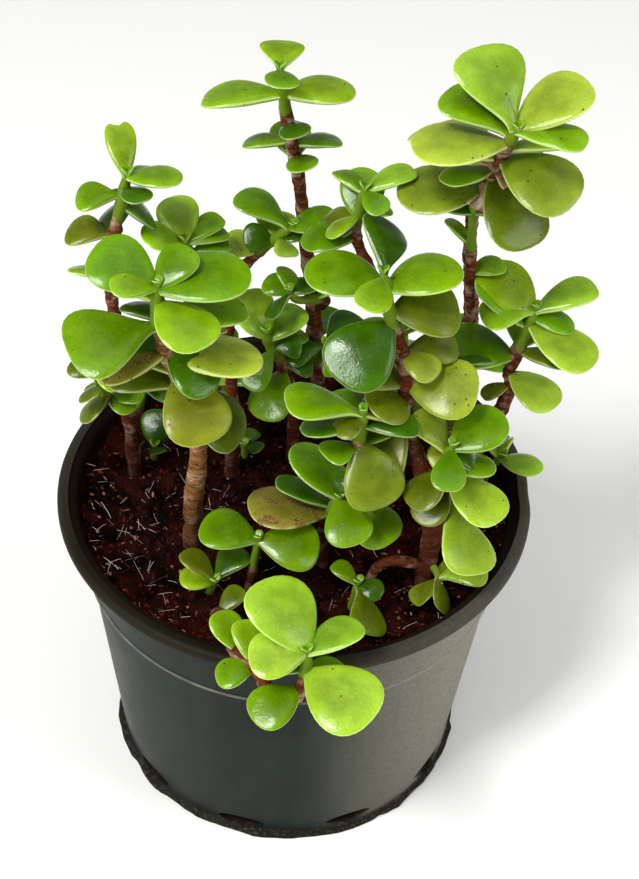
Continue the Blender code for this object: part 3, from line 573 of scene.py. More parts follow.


# Some leaves get a lighter tone letter than their own colour, as painted light: leaves that lie in shade, and
# the hero's first leaf for its sheen.
STEMS: tuple[StemPlan, ...] = (
    StemPlan("hero", "soil",
         ((42, 28, 80), (44, 27, 116), (42.5, 24.5, 138), (40.5, 20, 154), (39.5, 16, 166), (39.5, 11, 177),
          (41.5, 4, 189.5), (43, -2, 200), (44.5, -6.5, 208.5)), 92.0, (2.3, 1.3),
         ((0, 120, 38, 20.5, 0), (0, 25, 30, 19, 0), (1, 340, 5, 16, 0), (4, 150, 18, 18, 0),
          (7, 190, 0, 21.5, 5), (9, 165, -5, 22, 15), (14, 328, -10, 20, 15), (10, 15, 0, 13, -15),
          (20, 215, 5, 14, 10), (24, 308, -30, 19, 0), (27, 195, -5, 21, 0), (25, 100, 5, 16, 0),
          (24, 265, -45, 8, 30), (19, 300, -20, 6, 0)),
         "Ls Pr Fo G Pr Po Mr P Go Or Me P Xc Xn", green=6.0),
    StemPlan("front_left", "soil",
         ((-26, -14, 80), (-25.5, -16, 99), (-24, -18, 120), (-27, -20, 140), (-30.5, -22, 152.5),
          (-32, -24, 164), (-32, -24, 174.5)), 54.0, (2.7, 1.5),
         ((0, 160, 20, 17, -20), (0, 200, 15, 11, -15), (0, 50, 30, 12, 5), (2, 20, 5, 21.5, 0),
          (5, 315, -8, 17, 0), (12, 205, -2, 22, -14), (11, 140, 0, 10, 15), (19, 25, 5, 15, -20),
          (22, 212, -5, 17, 10), (22, 330, -20, 14, 10), (24, 12, -5, 22, -10), (30, 300, -25, 18.5, 5),
          (35, 340, -38, 19, 0)),
         "Gr F Gr Ge Fr Gs D So So Dr Pe Yr Or", bark=Bark.TAN),
    StemPlan("main", "soil",
         ((35, -23.5, 80), (35, -23, 105), (30, -22, 123), (26, -18, 133), (26, -17, 140),
          (25, -16, 148), (22.5, -15, 155), (20, -14, 163.5), (18, -13, 173)), 46.0, (2.7, 1.5),
         ((0, 90, 20, 16, 40), (2, 255, 5, 14, -10), (4, 170, 5, 19, 0), (5, 20, 10, 18.5, -5),
          (11, 15, -5, 17, 25), (14, 225, -25, 19, -25), (16, 60, 10, 9, -35), (23, 20, 0, 14, 30),
          (23, 330, -10, 10, 10), (32, 345, 10, 17.5, 30), (36, 230, 20, 14, -20),
          (43, 220, -32, 18, -5)),
         "Ds Fo Ge Fe Or Dr D O M Mr O Yr",
         arch=((35, -23, 85), (31, -26, 90.5), (25, -27.5, 92.5), (21, -28, 88), (21, -27, 80)), green=16.0),
    StemPlan("overhang", "soil",
         ((-17, -37, 80), (-16.8, -44, 87), (-15, -52, 91.5), (-11.3, -60.5, 94.3), (-6.4, -66, 94.5),
          (-3, -69.5, 91.7), (2, -71, 88.4), (4.5, -71, 93), (5.5, -70, 99.5), (5.5, -69, 105.5)),
         0.0, (1.9, 1.4),
         ((0, 125, 25, 20.5, 10), (1, 190, 5, 13.5, -15), (0, 35, 12, 15, -20), (6, 320, 0, 20.5, 15),
          (6, 150, 0, 13, 0), (12, 215, -10, 13.5, -10), (30, 195, -10, 9.5, -5), (30, 108, 25, 12, 10),
          (36, 125, 30, 11, 15), (57, 50, 25, 9, 0)),
         "Lr L L Lr D Gr G Fo Fr O", green=7.0),
    StemPlan("centre", "soil",
         ((14, -11, 80), (14, -18, 104), (15, -24, 127), (15.5, -28, 143.5)), 18.0, (2.0, 1.4),
         ((0, 185, 15, 19, 10), (1, 50, 5, 14, 5), (3, 225, -5, 8, 0),
          (6, 190, 0, 14.5, 20), (15, 215, 10, 10, 0), (13, 305, -48, 17, 15), (8, 100, 5, 14, 0),
          (40, 315, -15, 16, 0)),
         "Gs O O D G Yr G F"),
    StemPlan("front_centre", "soil",
         ((8, -17, 80), (8, -18, 92.5), (9.5, -22, 104), (11.5, -25, 112)), 0.0, (1.7, 1.3),
         ((0, 135, 25, 17.5, 20), (7, 175, 25, 16, 15), (10, 190, 10, 21, 10), (1, 290, -15, 13.5, 10),
          (1, 85, 35, 8, -35)),
         "Ge D Sr Gr D"),
    StemPlan("right", "soil",
         ((43.5, 0.5, 80), (46, -2, 107), (51, 1, 119.5), (53, 2, 127.5), (52, 2, 132.5), (53, 2, 137),
          (54.5, 3, 143.5), (56.5, 4, 151.5)), 43.0, (2.2, 1.4),
         ((0, 145, 20, 18.5, -10), (1, 190, 0, 13.5, 0), (0, 20, 18, 16.5, 0), (3, 0, -10, 11, 0),
          (5, 325, -10, 19, -5), (6, 150, 15, 17, 15), (13, 335, 5, 13, -5), (20, 320, -10, 15, -5),
          (15, 155, 5, 18.5, -5), (17, 180, 10, 15.5, 20), (24, 205, -15, 8, 0), (12, 70, 5, 15, 0)),
         "F F Lo G Lr G O P G D O F"),
    StemPlan("right_low", "main",
         ((35, -22.5, 103), (38, -24, 110), (37.5, -26, 120), (36.5, -26, 127), (37.5, -27, 133.5)),
         0.0, (1.6, 1.3),
         ((2, 35, 20, 15.5, 5), (5, 135, 25, 13.5, 10), (4, 80, 10, 8, -45), (2, 265, -5, 13, 0),
          (4, 20, -30, 9, 15), (10, 220, -25, 12.5, 10), (17, 225, -25, 11, -5), (13, 320, -15, 12, -10),
          (12, 320, -10, 17, -5), (9, 10, 0, 12, -10), (21, 295, -25, 20.5, -25)),
         "Ge M O G D O O P Lr G Ls"),
    StemPlan("left", "soil",
         ((-44.5, 12, 80), (-44.5, 9, 98), (-45.5, 7, 114), (-46, 5, 136), (-47, 3, 152),
          (-44.5, 0, 171), (-42.5, 0, 180), (-41, -1, 187.5)), 70.0, (2.0, 1.2),
         ((0, 105, 35, 14, 10), (1, 355, 5, 13, -10), (2, 50, -5, 9, -15), (7, 180, -5, 11, -10),
          (5, 300, 18, 11.5, 0), (8, 100, -20, 8, 0), (10, 45, -40, 12, 20), (17, 95, -5, 12, -35),
          (19, 165, -5, 12, -10), (34, 170, 5, 10.5, 25)),
         "Fn F L G Do D D D O F", green=14.0),
    StemPlan("tall", "soil",
         ((6, 31, 80), (3.5, 26, 115.5), (1.5, 25, 136.5), (-1.5, 24, 161), (-3, 22, 174),
          (-4.5, 21, 183), (-6, 20, 190.5), (-7, 19, 198.5), (-8, 18, 205.5)), 90.0, (2.4, 1.3),
         ((0, 92, 5, 12.5, 0), (1, 275, 15, 12, -5), (8, 175, -10, 19.5, 5), (8, 15, 0, 17, -5),
          (17, 285, 20, 12, 12), (22, 175, -10, 12, 10), (23, 15, 0, 12, -15), (27, 285, 20, 12, 12)),
         "Fs Go Fo Fe Do G G Go", lone=17),
    StemPlan("main_back", "main",
         ((22.5, -15, 152), (19.5, -4, 157.5), (14.5, 2, 164), (11.5, 4, 170.5), (12, 4, 176.5),
          (13, 3, 184.5)), 0.0, (1.4, 1.2),
         ((10, 85, 45, 12.5, 0), (2, 130, 5, 10, 10), (1, 300, 0, 9, 15), (1, 25, 15, 13, -5),
          (12, 145, -30, 14, -25), (9, 215, -20, 9, 25), (15, 175, -10, 13.5, 0)),
         "G G G L O F G"),
    StemPlan("mid_left", "soil",
         ((-18, 15, 80), (-17.5, 8, 112), (-19, 14, 131), (-18, 17, 142), (-15.5, 17, 149),
          (-9.5, 17, 156.5), (-3.5, 16, 163)), 66.0, (1.9, 1.2),
         ((0, 150, 20, 15.5, 10), (1, 15, 20, 12, 0), (7, 190, 15, 8, -45), (6, 295, 0, 8, -15),
          (12, 165, 5, 10, -20), (6, 60, 10, 12, 0)),
         "Gs G D P Pr F"),
    StemPlan("mid_left_twig", "mid_left",
         ((-18.5, 14, 134), (-23, 12, 147), (-27, 8, 157), (-29, 6, 164.5)), 0.0, (1.4, 1.2),
         ((0, 115, 40, 12, -10), (1, 190, 20, 11.5, -10), (0, 40, 20, 11, 5), (1, 30, 0, 11, 0),
          (5, 20, 5, 10, 0)),
         "Lr F G G G"),
    StemPlan("mid_back", "soil",
         ((-1.5, 21.5, 80), (-2, 18, 104.5), (-5, 16, 118.5), (-8.5, 14, 126.5), (-9.5, 13, 132)),
         33.0, (1.8, 1.2),
         ((3, 125, 35, 13.5, 10), (4, 45, 25, 12.5, -5), (3, 150, 20, 12, 0), (7, 0, 10, 8, 30),
          (8, 235, -35, 12, -10), (15, 355, 0, 8, 10), (17, 245, -35, 14.5, 10)),
         "L L L D G D Gr"),
    StemPlan("tall_twig", "tall",
         ((2, 25, 130), (5.5, 23, 135), (2, 20, 137.5), (-2, 17, 139.5), (-4, 16, 143)), 0.0, (1.3, 1.1),
         ((1, 155, 10, 8, -20), (0, 110, 25, 8, 30), (1, 225, -25, 9, 30), (10, 25, 20, 11, -15)),
         "G G D G"),
    StemPlan("tall_low", "tall",
         ((3.5, 25.5, 112), (5, 22, 118), (6, 20, 123)), 0.0, (1.3, 1.1),
         ((0, 80, 40, 13, 0), (0, 200, -5, 11, -15), (2, 300, -20, 9, 0), (1, 20, 10, 10, 10)),
         "D D G D"),
    StemPlan("back_right", "soil",
         ((47, 17, 80), (44.5, 17, 116), (41, 12, 148), (39.5, 8, 163), (38.5, 6, 178)), 58.0, (1.6, 1.1),
         ((1, 30, 20, 8, 5), (1, 160, 5, 8, 5), (12, 145, 30, 9, 20), (22, 20, -15, 9, 0)),
         "O D F G"),
    StemPlan("left_twig", "left",
         ((-45.5, 7, 110.5), (-48, 2, 115), (-50, -2, 124), (-51, -4, 129.5)), 0.0, (1.1, 0.9),
         ((1, 160, 10, 7.5, -15), (0, 340, -15, 6.5, 0), (6, 250, 5, 8, 35), (12, 235, -20, 10, 30),
          (14, 320, 0, 8, -10), (14, 15, 10, 9, -5)),
         "O F O Oe G G"),
    StemPlan("right_side", "soil",
         ((50, 9, 80), (51, 7.5, 92), (52.5, 6.5, 96), (54.5, 6, 99.5)), 0.0, (1.2, 1.0),
         ((0, 335, 5, 12, -10), (0, 75, 0, 8, -50), (2, 110, -5, 8, 35)),
         "Le L L"),
    StemPlan("main_foot", "main",
         ((35.5, -23.5, 89), (37.5, -27, 88.5), (38, -29.5, 87)), 0.0, (1.1, 0.9),
         ((1, 5, -5, 13, 5), (0, 275, -30, 12, -55), (0, 235, -25, 9, 30)),
         "L O Yc"),
    StemPlan("sprig_front_right", "soil",
         ((16.5, -31.5, 80), (17.5, -33, 90)), 0.0, (1.2, 1.0),
         ((0, 140, 15, 8.5, 0), (0, 340, 0, 7, 25), (2, 285, -25, 14.5, -35)),
         "G D Os"),
    StemPlan("sprig_left", "soil",
         ((-10.5, -28, 80), (-9, -30, 92), (-8, -31, 102)), 0.0, (1.2, 1.0),
         ((0, 165, 5, 15, -5), (0, 0, 18, 15.5, 25)),
         "Gr Gr"),
    StemPlan("sprig_far_left", "soil",
         ((-20.5, -31, 80), (-18.5, -34, 88.5)), 0.0, (1.1, 0.9),
         ((0, 140, 20, 11.5, 10), (0, 185, 15, 9, 0), (0, 50, 20, 11.5, -10)),
         "O F D"),
    StemPlan("sprig_back_left", "soil",
         ((-40, 19, 80), (-39.5, 19, 84)), 0.0, (1.0, 0.8),
         ((0, 80, 55, 11, 0), (0, 290, 30, 6, 0)),
         "Dr D"),
    StemPlan("tall_back", "tall",
         ((4.5, 28, 99), (4, 33, 105), (3, 37, 111)), 0.0, (1.4, 1.1),
         ((0, 70, 20, 12, 0), (0, 250, 15, 10, 0), (5, 155, 5, 12.5, 0), (5, 340, 0, 12, 0)),
         "D D D G"),
    StemPlan("back_middle", "soil",
         ((24, 37, 80), (26, 35, 100), (27, 32, 119)), 22.0, (1.7, 1.2),
         ((0, 60, 25, 13, 0), (0, 240, 10, 10, 0), (6, 150, 5, 14, 0), (7, 335, 0, 12, 0),
          (13, 75, -10, 13, 0)),
         "G G G F O"),
    StemPlan("hero_back", "hero",
         ((43, 27.5, 100), (44, 32, 106), (44.5, 36, 111)), 0.0, (1.4, 1.1),
         ((0, 100, 25, 12, 0), (0, 285, 5, 9, 0), (5, 15, 0, 11.5, 0), (5, 190, 5, 11, 0)),
         "G G G F"),
    StemPlan("left_back", "left",
         ((-44.5, 9, 96), (-42.5, 16, 103), (-40, 22, 110)), 0.0, (1.4, 1.1),
         ((0, 80, 25, 13, 0), (0, 255, 10, 9, 0), (5, 165, 5, 12.5, 0), (6, 350, 0, 12, 0)),
         "D O D D"),
    StemPlan("mid_left_back", "mid_left",
         ((-17.5, 9, 100), (-20, 17, 106), (-22, 25, 111)), 0.0, (1.4, 1.1),
         ((0, 100, 20, 13, 0), (0, 275, 5, 9, 0), (6, 20, 5, 12, 0), (6, 200, 0, 12, 0)),
         "O F G D"),
    StemPlan("sprig_middle", "soil",
         ((-15, 22, 80), (-15, 21, 84)), 0.0, (1.0, 0.8),
         ((0, 150, 25, 7, 0), (0, 330, 25, 6.5, 0), (0, 60, 30, 6, 0)),
         "O D D"),
)


# The growth rule, the same as the solids'

@dataclass(frozen=True)
class GrowthRule:
    """How stems and leaves find room: gaps, steps, and how far a leaf may bend or shrink."""

    gap: float = 0.3
    search_gap: float = 0.35
    stem_step: float = 7.0
    shortest_step: float = 0.8
    seat_step: float = 0.2
    stem_sides: int = 6
    core_sides: int = 5
    arch_step: float = 4.0
    arch_radii: tuple[float, float] = (1.9, 1.3)
    root_depth: float = 10.0
    tip_sink: float = 1.4
    leaf_ratio: float = 0.88
    root_taper: float = 0.8
    tip_taper: float = 0.5
    profile_peak: float = 0.42
    rise: float = 0.05
    plumpness: float = 0.10
    plump_base: float = 0.45
    plump_ends: float = 0.55
    plump_forward: float = 1.2
    nudges: tuple[int, ...] = (0, -8, 8, -16, 16, -24, 24, -34, 34)
    shrinks: tuple[float, ...] = (1.0, 0.92, 0.84)
    shrink_cost: float = 110.0
    partner_share: float = 0.95
    partner_spacing: float = 4.0
    partner_spread: float = 50.0
    front_sine: float = -0.1

    def stations(self, length: float) -> tuple[float, ...]:
        """Return the shares of a leaf's length where its test shape has a section.

        Args:
            length: the leaf's length.

        Returns:
            The shares, from root to tip.
        """
        if length <= 9.5:
            return (0.18, 0.55, 0.88)
        if length <= 15.0:
            return (0.14, 0.40, 0.70, 0.92)
        return (0.13, 0.33, 0.58, 0.80, 0.94)

    def bends(self) -> list[tuple[float, float, float]]:
        """Return (turn, lift, share of length) changes for a leaf, the smallest first."""
        options = [(t, l, s) for t in self.nudges for l in self.nudges for s in self.shrinks]
        return sorted(options, key=lambda o: abs(o[0]) + abs(o[1]) + self.shrink_cost * (1 - o[2]))

    def half_thickness(self, length: float) -> float:
        """Return half the thickness of a leaf of that length at its fullest."""
        return self.plump_base + self.plumpness * length / 2


RULE = GrowthRule()
BENDS = RULE.bends()


@dataclass
class LeafPose:
    """Where one leaf sits and what it is like."""

    base: Vector
    heading: float
    lift: float
    length: float
    roll: float
    tone: Tone = Tone.GREEN
    form: Optional[Form] = None

    def axes(self) -> tuple[Vector, Vector, Vector]:
        """Return the leaf's forward, across and upward directions."""
        along = math.radians(self.heading)
        rise = math.radians(self.lift)
        forward = Vector((math.cos(along) * math.cos(rise), math.sin(along) * math.cos(rise), math.sin(rise)))
        flat = Vector((-math.sin(along), math.cos(along), 0))
        across = Matrix.Rotation(math.radians(self.roll), 3, forward) @ flat
        return forward, across, forward.cross(across)

    def test_shape(self, grow: float = 0.0) -> Shape:
        """Return the plain blade that the growth rule tests, thickened all round by grow.

        Args:
            grow: how far each side stands out.

        Returns:
            Its points and faces.
        """
        forward, across, normal = self.axes()
        half_width = self.length * RULE.leaf_ratio / 2
        half_thick = RULE.half_thickness(self.length)
        stations = RULE.stations(self.length)
        points = [self.base - forward * grow]
        for t in stations:
            arched = normal * (RULE.rise * self.length * math.sin(math.pi * t))
            middle = self.base + forward * (t * self.length) + arched
            share = t ** RULE.root_taper * (1 - t) ** RULE.tip_taper / RULE.profile_peak
            wide = across * (half_width * share + grow)
            full = math.sin(math.pi * min(1.0, t * RULE.plump_forward))
            thick = normal * (half_thick * (RULE.plump_ends + (1 - RULE.plump_ends) * full) + grow)
            points += [middle + wide, middle + thick, middle - wide, middle - thick]
        points.append(self.base + forward * (self.length + grow))
        faces: list[tuple[int, ...]] = []
        for side in range(4):
            after = (side + 1) % 4
            faces.append((0, 1 + after, 1 + side))
            faces.append((len(points) - 1, len(points) - 5 + side, len(points) - 5 + after))
            for n in range(len(stations) - 1):
                low = 1 + 4 * n
                faces.append((low + side, low + after, low + 4 + after, low + 4 + side))
        return points, faces


def smooth_route(route: Sequence[Sequence[float]], step: float) -> list[Vector]:
    """Return points about step apart on a Catmull-Rom curve through the route.

    Args:
        route: the points that it passes through.
        step: the distance wanted between the new points.

    Returns:
        The new points.
    """
    knots = [Vector(p) for p in route]
    knots = [2 * knots[0] - knots[1]] + knots + [2 * knots[-1] - knots[-2]]
    curve = []
    for before, start, end, after in zip(knots, knots[1:], knots[2:], knots[3:]):
        count = max(1, round((end - start).length / step))
        for n in range(count):
            t = n / count
            bend = 2 * before - 5 * start + 4 * end - after
            twist = 3 * start - before - 3 * end + after
            curve.append(0.5 * (2 * start + (end - before) * t + bend * t * t + twist * t ** 3))
    curve.append(knots[-2])
    return curve


def route_length(points: Sequence[Vector]) -> float:
    """Return the length of a polyline."""
    return sum((b - a).length for a, b in zip(points, points[1:]))


def cut_route(points: Sequence[Vector], start: float, end: float, shortest: float) -> list[Vector]:
    """Return the stretch of a polyline between two distances along it, with no step under shortest.

    Args:
        points: the polyline.
        start: where the stretch begins.
        end: where it ends.
        shortest: the least step.

    Returns:
        The stretch's points.
    """
    kept: list[Vector] = []
    walked = 0.0
    for a, b in zip(points, points[1:]):
        span = (b - a).length
        if not kept and walked + span > start:
            kept.append(a.lerp(b, (start - walked) / span))
        if kept and walked + span >= end - 1e-6:
            kept.append(a.lerp(b, (end - walked) / span))
            break
        if kept:
            kept.append(b)
        walked += span
    thinned = [kept[0]]
    for point in kept[1:]:
        if (point - thinned[-1]).length > shortest:
            thinned.append(point)
    thinned[-1] = kept[-1]
    return thinned


def point_at(points: Sequence[Vector], distance: float) -> Vector:
    """Return the point at a distance along a polyline.

    Args:
        points: the polyline.
        distance: the distance from its first point.

    Returns:
        The point.
    """
    for a, b in zip(points, points[1:]):
        span = (b - a).length
        if distance <= span:
            return a.lerp(b, distance / span)
        distance -= span
    return points[-1]


def tube(points: Sequence[Vector], radius_at: Any, sides: int) -> Shape:
    """Return a closed tube; radius_at takes the share along it.

    Args:
        points: its middle line.
        radius_at: gives the radius for a share of the line.
        sides: the corners of its section.

    Returns:
        Its points and faces.
    """
    total = route_length(points)
    side_axis = (points[1] - points[0]).orthogonal().normalized()
    rings = []
    walked = 0.0
    for n, point in enumerate(points):
        ahead = points[min(n + 1, len(points) - 1)] - points[max(n - 1, 0)]
        along = ahead.normalized()
        side_axis = (side_axis - along * side_axis.dot(along)).normalized()
        up_axis = along.cross(side_axis)
        if n:
            walked += (point - points[n - 1]).length
        radius = radius_at(walked / total)
        for side in range(sides):
            angle = 2 * math.pi * side / sides
            rings.append(point + radius * (math.cos(angle) * side_axis + math.sin(angle) * up_axis))
    last = (len(points) - 1) * sides
    faces = [tuple(reversed(range(sides))), tuple(range(last, last + sides))]
    for n in range(len(points) - 1):
        low = n * sides
        for side in range(sides):
            after = (side + 1) % sides
            faces.append((low + side, low + after, low + sides + after, low + sides + side))
    return rings, faces


def surface_tree(shapes: Iterable[Shape]) -> BVHTree:
    """Return one search tree of the surfaces of several shapes.

    Args:
        shapes: the points and faces of each.

    Returns:
        The tree.
    """
    points: list[Vector] = []
    faces: list[tuple[int, ...]] = []
    for shape_points, shape_faces in shapes:
        start = len(points)
        points += [Vector(p) for p in shape_points]
        faces += [tuple(start + n for n in face) for face in shape_faces]
    return BVHTree.FromPolygons(points, faces)


def is_clear(shape: Shape, trees: Iterable[BVHTree]) -> bool:
    """Return whether a shape's surface meets none of the trees."""
    tree = surface_tree([shape])
    return not any(tree.overlap(other) for other in trees)


class StemGrowth:
    """One stem while it grows: its line, its test shapes and its leaves."""

    def __init__(self, plan: StemPlan) -> None:
        """Lay the stem's line through its route.

        Args:
            plan: the stem's plan.
        """
        self.plan = plan
        self.points = smooth_route(plan.route, RULE.stem_step)
        self.length = route_length(self.points)
        self.start = 0.0
        self.leaves: list[LeafPose] = []
        self.taken: list[tuple[float, float]] = []

    def radius(self, distance: float) -> float:
        """Return the stem's radius at a distance along it."""
        foot, tip = self.plan.radii
        return foot + (tip - foot) * min(1.0, max(0.0, distance / self.length))

    def stretch(self, start: float, end: float, sides: int, grow: float = 0.0) -> Shape:
        """Return the closed tube between two distances."""
        points = cut_route(self.points, start, end, RULE.shortest_step)
        return tube(points, lambda t: self.radius(start + t * (end - start)) + grow, sides)

    def seat_on(self, carrier: BVHTree) -> None:
        """Start the stem just clear of the stem that carries it."""
        while not is_clear(self.stretch(self.start, self.length, RULE.core_sides, RULE.gap), [carrier]):
            self.start += RULE.seat_step

    def rooted(self, end: float, sides: int) -> Shape:
        """Return the tube from the root in the soil to a distance along the stem.

        Args:
            end: that distance.
            sides: the corners of the tube's section.

        Returns:
            Its points and faces.
        """
        points = cut_route(self.points, 0.0, end, RULE.shortest_step)
        points = [points[0] - Vector((0, 0, RULE.root_depth))] + points
        whole = route_length(points)
        return tube(points, lambda t: self.radius(t * whole - RULE.root_depth), sides)

    def woody_shapes(self) -> list[Shape]:
        """Return the woody tube and the arched root, where the stem has them."""
        shapes = []
        if self.plan.wood:
            shapes.append(self.rooted(self.plan.wood - RULE.gap, RULE.stem_sides))
        if self.plan.arch:
            points = smooth_route(self.plan.arch, RULE.arch_step)
            points.append(points[-1] - Vector((0, 0, RULE.root_depth)))
            thick, thin = RULE.arch_radii
            shapes.append(tube(points, lambda t: thick + (thin - thick) * t, RULE.stem_sides))
        return shapes

    def core(self) -> Shape:
        """Return the green shoot's test stem."""
        if self.plan.carrier != "soil" or self.plan.wood:
            return self.stretch(max(self.start, self.plan.wood), self.length, RULE.core_sides)
        return self.rooted(self.length, RULE.core_sides)

    def tree(self) -> BVHTree:
        """Return the search tree of all that the stem has grown."""
        blades = [leaf.test_shape() for leaf in self.leaves]
        return surface_tree(self.woody_shapes() + [self.core()] + blades)

    def grow_leaf(self, spec: Sequence[float], tone: Tone, form: Optional[Form],
                  others: list[BVHTree]) -> None:
        """Add one leaf, bent clear of the other stems, where there is room for it.

        Args:
            spec: distance below the tip, heading, lift, length and roll.
            tone: the leaf's colour.
            form: its outline, or None to leave that to chance.
            others: the surfaces it may not meet.
        """
        below_tip, heading, lift, length, roll = spec
        base = point_at(self.points, self.length - max(below_tip, RULE.tip_sink))
        for turn, raised, share in BENDS:
            pose = LeafPose(base, heading + turn, lift + raised, length * share, roll, tone, form)
            if is_clear(pose.test_shape(RULE.search_gap), others):
                self.leaves.append(pose)
                self.taken.append((below_tip, heading))
                return

    def has_leaf_near(self, below_tip: float, heading: float) -> bool:
        """Return whether a leaf already grows near that place and heading.

        Args:
            below_tip: the place's distance below the tip.
            heading: in degrees.

        Returns:
            True if one does.
        """
        for other_place, other_heading in self.taken:
            apart = abs((heading - other_heading + 180) % 360 - 180)
            if abs(other_place - below_tip) < RULE.partner_spacing and apart < RULE.partner_spread:
                return True
        return False


@dataclass
class PlantHabit:
    """The whole plant's growth: every stem with its leaves clear of the pot, the soil and each other."""

    plans: tuple[StemPlan, ...]
    growths: dict[str, StemGrowth] = field(default_factory=dict)

    def grow(self, ground: BVHTree) -> None:
        """Grow the listed leaves, then the partners of those that face the front.

        Args:
            ground: the surfaces of the pot and the soil.
        """
        self.growths = {plan.name: StemGrowth(plan) for plan in self.plans}
        for growth in self.growths.values():
            if growth.plan.carrier != "soil":
                growth.seat_on(self.growths[growth.plan.carrier].tree())
        trees = {name: growth.tree() for name, growth in self.growths.items()}
        for growth in self.growths.values():
            for spec, look in zip(growth.plan.leaves, growth.plan.looks.split()):
                form = Form(look[1]) if len(look) > 1 else None
                growth.grow_leaf(spec, Tone(look[0]), form, self.others(growth, trees, ground))
            trees[growth.plan.name] = growth.tree()
        for growth in self.growths.values():
            for spec, look in zip(growth.plan.leaves, growth.plan.looks.split()):
                below_tip, heading, lift, length, _ = spec
                opposite = (heading + 180) % 360
                paired = math.sin(math.radians(heading)) < RULE.front_sine and below_tip != growth.plan.lone
                if paired and not growth.has_leaf_near(below_tip, opposite):
                    partner = (below_tip, opposite, max(lift, 0), length * RULE.partner_share, 0)
                    growth.grow_leaf(partner, Tone(look[0]), None, self.others(growth, trees, ground))
            trees[growth.plan.name] = growth.tree()

    @staticmethod
    def others(growth: StemGrowth, trees: dict[str, BVHTree], ground: BVHTree) -> list[BVHTree]:
        """Return the surfaces that a leaf of one stem may not meet.

        Args:
            growth: that stem.
            trees: each stem's surfaces, by its name.
            ground: the pot's and the soil's surfaces.

        Returns:
            A search tree for each.
        """
        near = [tree for name, tree in trees.items() if name != growth.plan.name] + [ground]
        woody = growth.woody_shapes()
        return near + [surface_tree(woody)] if woody else near


# Mesh helpers

def add_mesh(name: str, points: Sequence[Sequence[float]], faces: Sequence[Sequence[int]],
             materials: Sequence[Material] = ()) -> Object:
    """Make a smooth mesh object from millimetre points and link it to the scene.

    Args:
        name: the object's name.
        points: its points.
        faces: the numbers of each face's points.
        materials: its materials.

    Returns:
        The new object.
    """
    mesh = bpy.data.meshes.new(name)
    mesh.from_pydata([Vector(p) * MM for p in points], [], faces)
    mesh.shade_smooth()
    for made in materials:
        mesh.materials.append(made)
    obj = bpy.data.objects.new(name, mesh)
    bpy.context.scene.collection.objects.link(obj)
    return obj


def store(mesh: Mesh, name: str, kind: str, values: Sequence[Any]) -> None:
    """Store one value for each point as a named attribute.

    Args:
        mesh: the mesh.
        name: the attribute's name.
        kind: its data type.
        values: one for each point.
    """
    layer = mesh.attributes.new(name, kind, "POINT")
    key = {"FLOAT_VECTOR": "vector", "FLOAT_COLOR": "color"}.get(kind, "value")
    for item, value in zip(layer.data, values):
        setattr(item, key, value)


def turned(profile: Sequence[tuple[float, float]], sides: int) -> Shape:
    """Return a profile of (radius, height) turned about Z, closed where its radius is 0.

    Args:
        profile: the radii and heights, in order.
        sides: the corners of its circles.

    Returns:
        Its points and faces.
    """
    points: list[tuple[float, float, float]] = []
    rings = []
    for radius, height in profile:
        count = 1 if radius == 0 else sides
        rings.append(list(range(len(points), len(points) + count)))
        for side in range(count):
            angle = 2 * math.pi * side / sides
            points.append((radius * math.cos(angle), radius * math.sin(angle), height))
    faces: list[tuple[int, ...]] = []
    for low, high in zip(rings, rings[1:]):
        for side in range(sides):
            after = (side + 1) % sides
            if len(low) == 1:
                faces.append((low[0], high[after], high[side]))
            elif len(high) == 1:
                faces.append((low[side], low[after], high[0]))
            else:
                faces.append((low[side], low[after], high[after], high[side]))
    return points, faces


def bake_nodes(holder: Object, tree: NodeTree, values: dict[str, Any], name: str) -> Object:
    """Run a node tree on an object and return its result as a plain mesh object.

    Args:
        holder: the object that carries the tree's input; it is removed.
        tree: the geometry node tree.
        values: the tree's inputs by name.
        name: the result's name.

    Returns:
        The new object, with no modifier left on it.
    """
    step = holder.modifiers.new("nodes", "NODES")
    step.node_group = tree
    for item in tree.interface.items_tree:
        if item.item_type == "SOCKET" and item.in_out == "INPUT" and item.name in values:
            step[item.identifier] = values[item.name]
    graph = bpy.context.evaluated_depsgraph_get()
    mesh = bpy.data.meshes.new_from_object(holder.evaluated_get(graph))
    mesh.name = name
    bpy.data.objects.remove(holder, do_unlink=True)
    made = bpy.data.objects.new(name, mesh)
    bpy.context.scene.collection.objects.link(made)
    return made


def new_tree(name: str, inputs: Sequence[tuple[str, str, Any]]) -> tuple[NodeTree, Node]:
    """Make a geometry node tree with named inputs and one geometry output.

    Args:
        name: the tree's name.
        inputs: each input's name, socket type and default, or None for no default.

    Returns:
        The tree and its input node.
    """
    tree = bpy.data.node_groups.new(name, "GeometryNodeTree")
    tree.interface.new_socket("Geometry", in_out="INPUT", socket_type="NodeSocketGeometry")
    for label, kind, default in inputs:
        socket = tree.interface.new_socket(label, in_out="INPUT", socket_type=kind)
        if default is not None:
            socket.default_value = default
    tree.interface.new_socket("Geometry", in_out="OUTPUT", socket_type="NodeSocketGeometry")
    return tree, add_node(tree, "NodeGroupInput")


def finish_piece(piece: Object, nodes: Sequence[str]) -> None:
    """Seat a finished piece on the body and hide the solids it stands for.

    Args:
        piece: the finished object.
        nodes: the solids it replaces.
    """
    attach(piece, "root")
    if nodes:
        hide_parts(*nodes)
    LOG.info("%s: %d faces, stands for %s", piece.name, len(piece.data.polygons),
             ", ".join(nodes) or "no solid")


# Leaves and stems

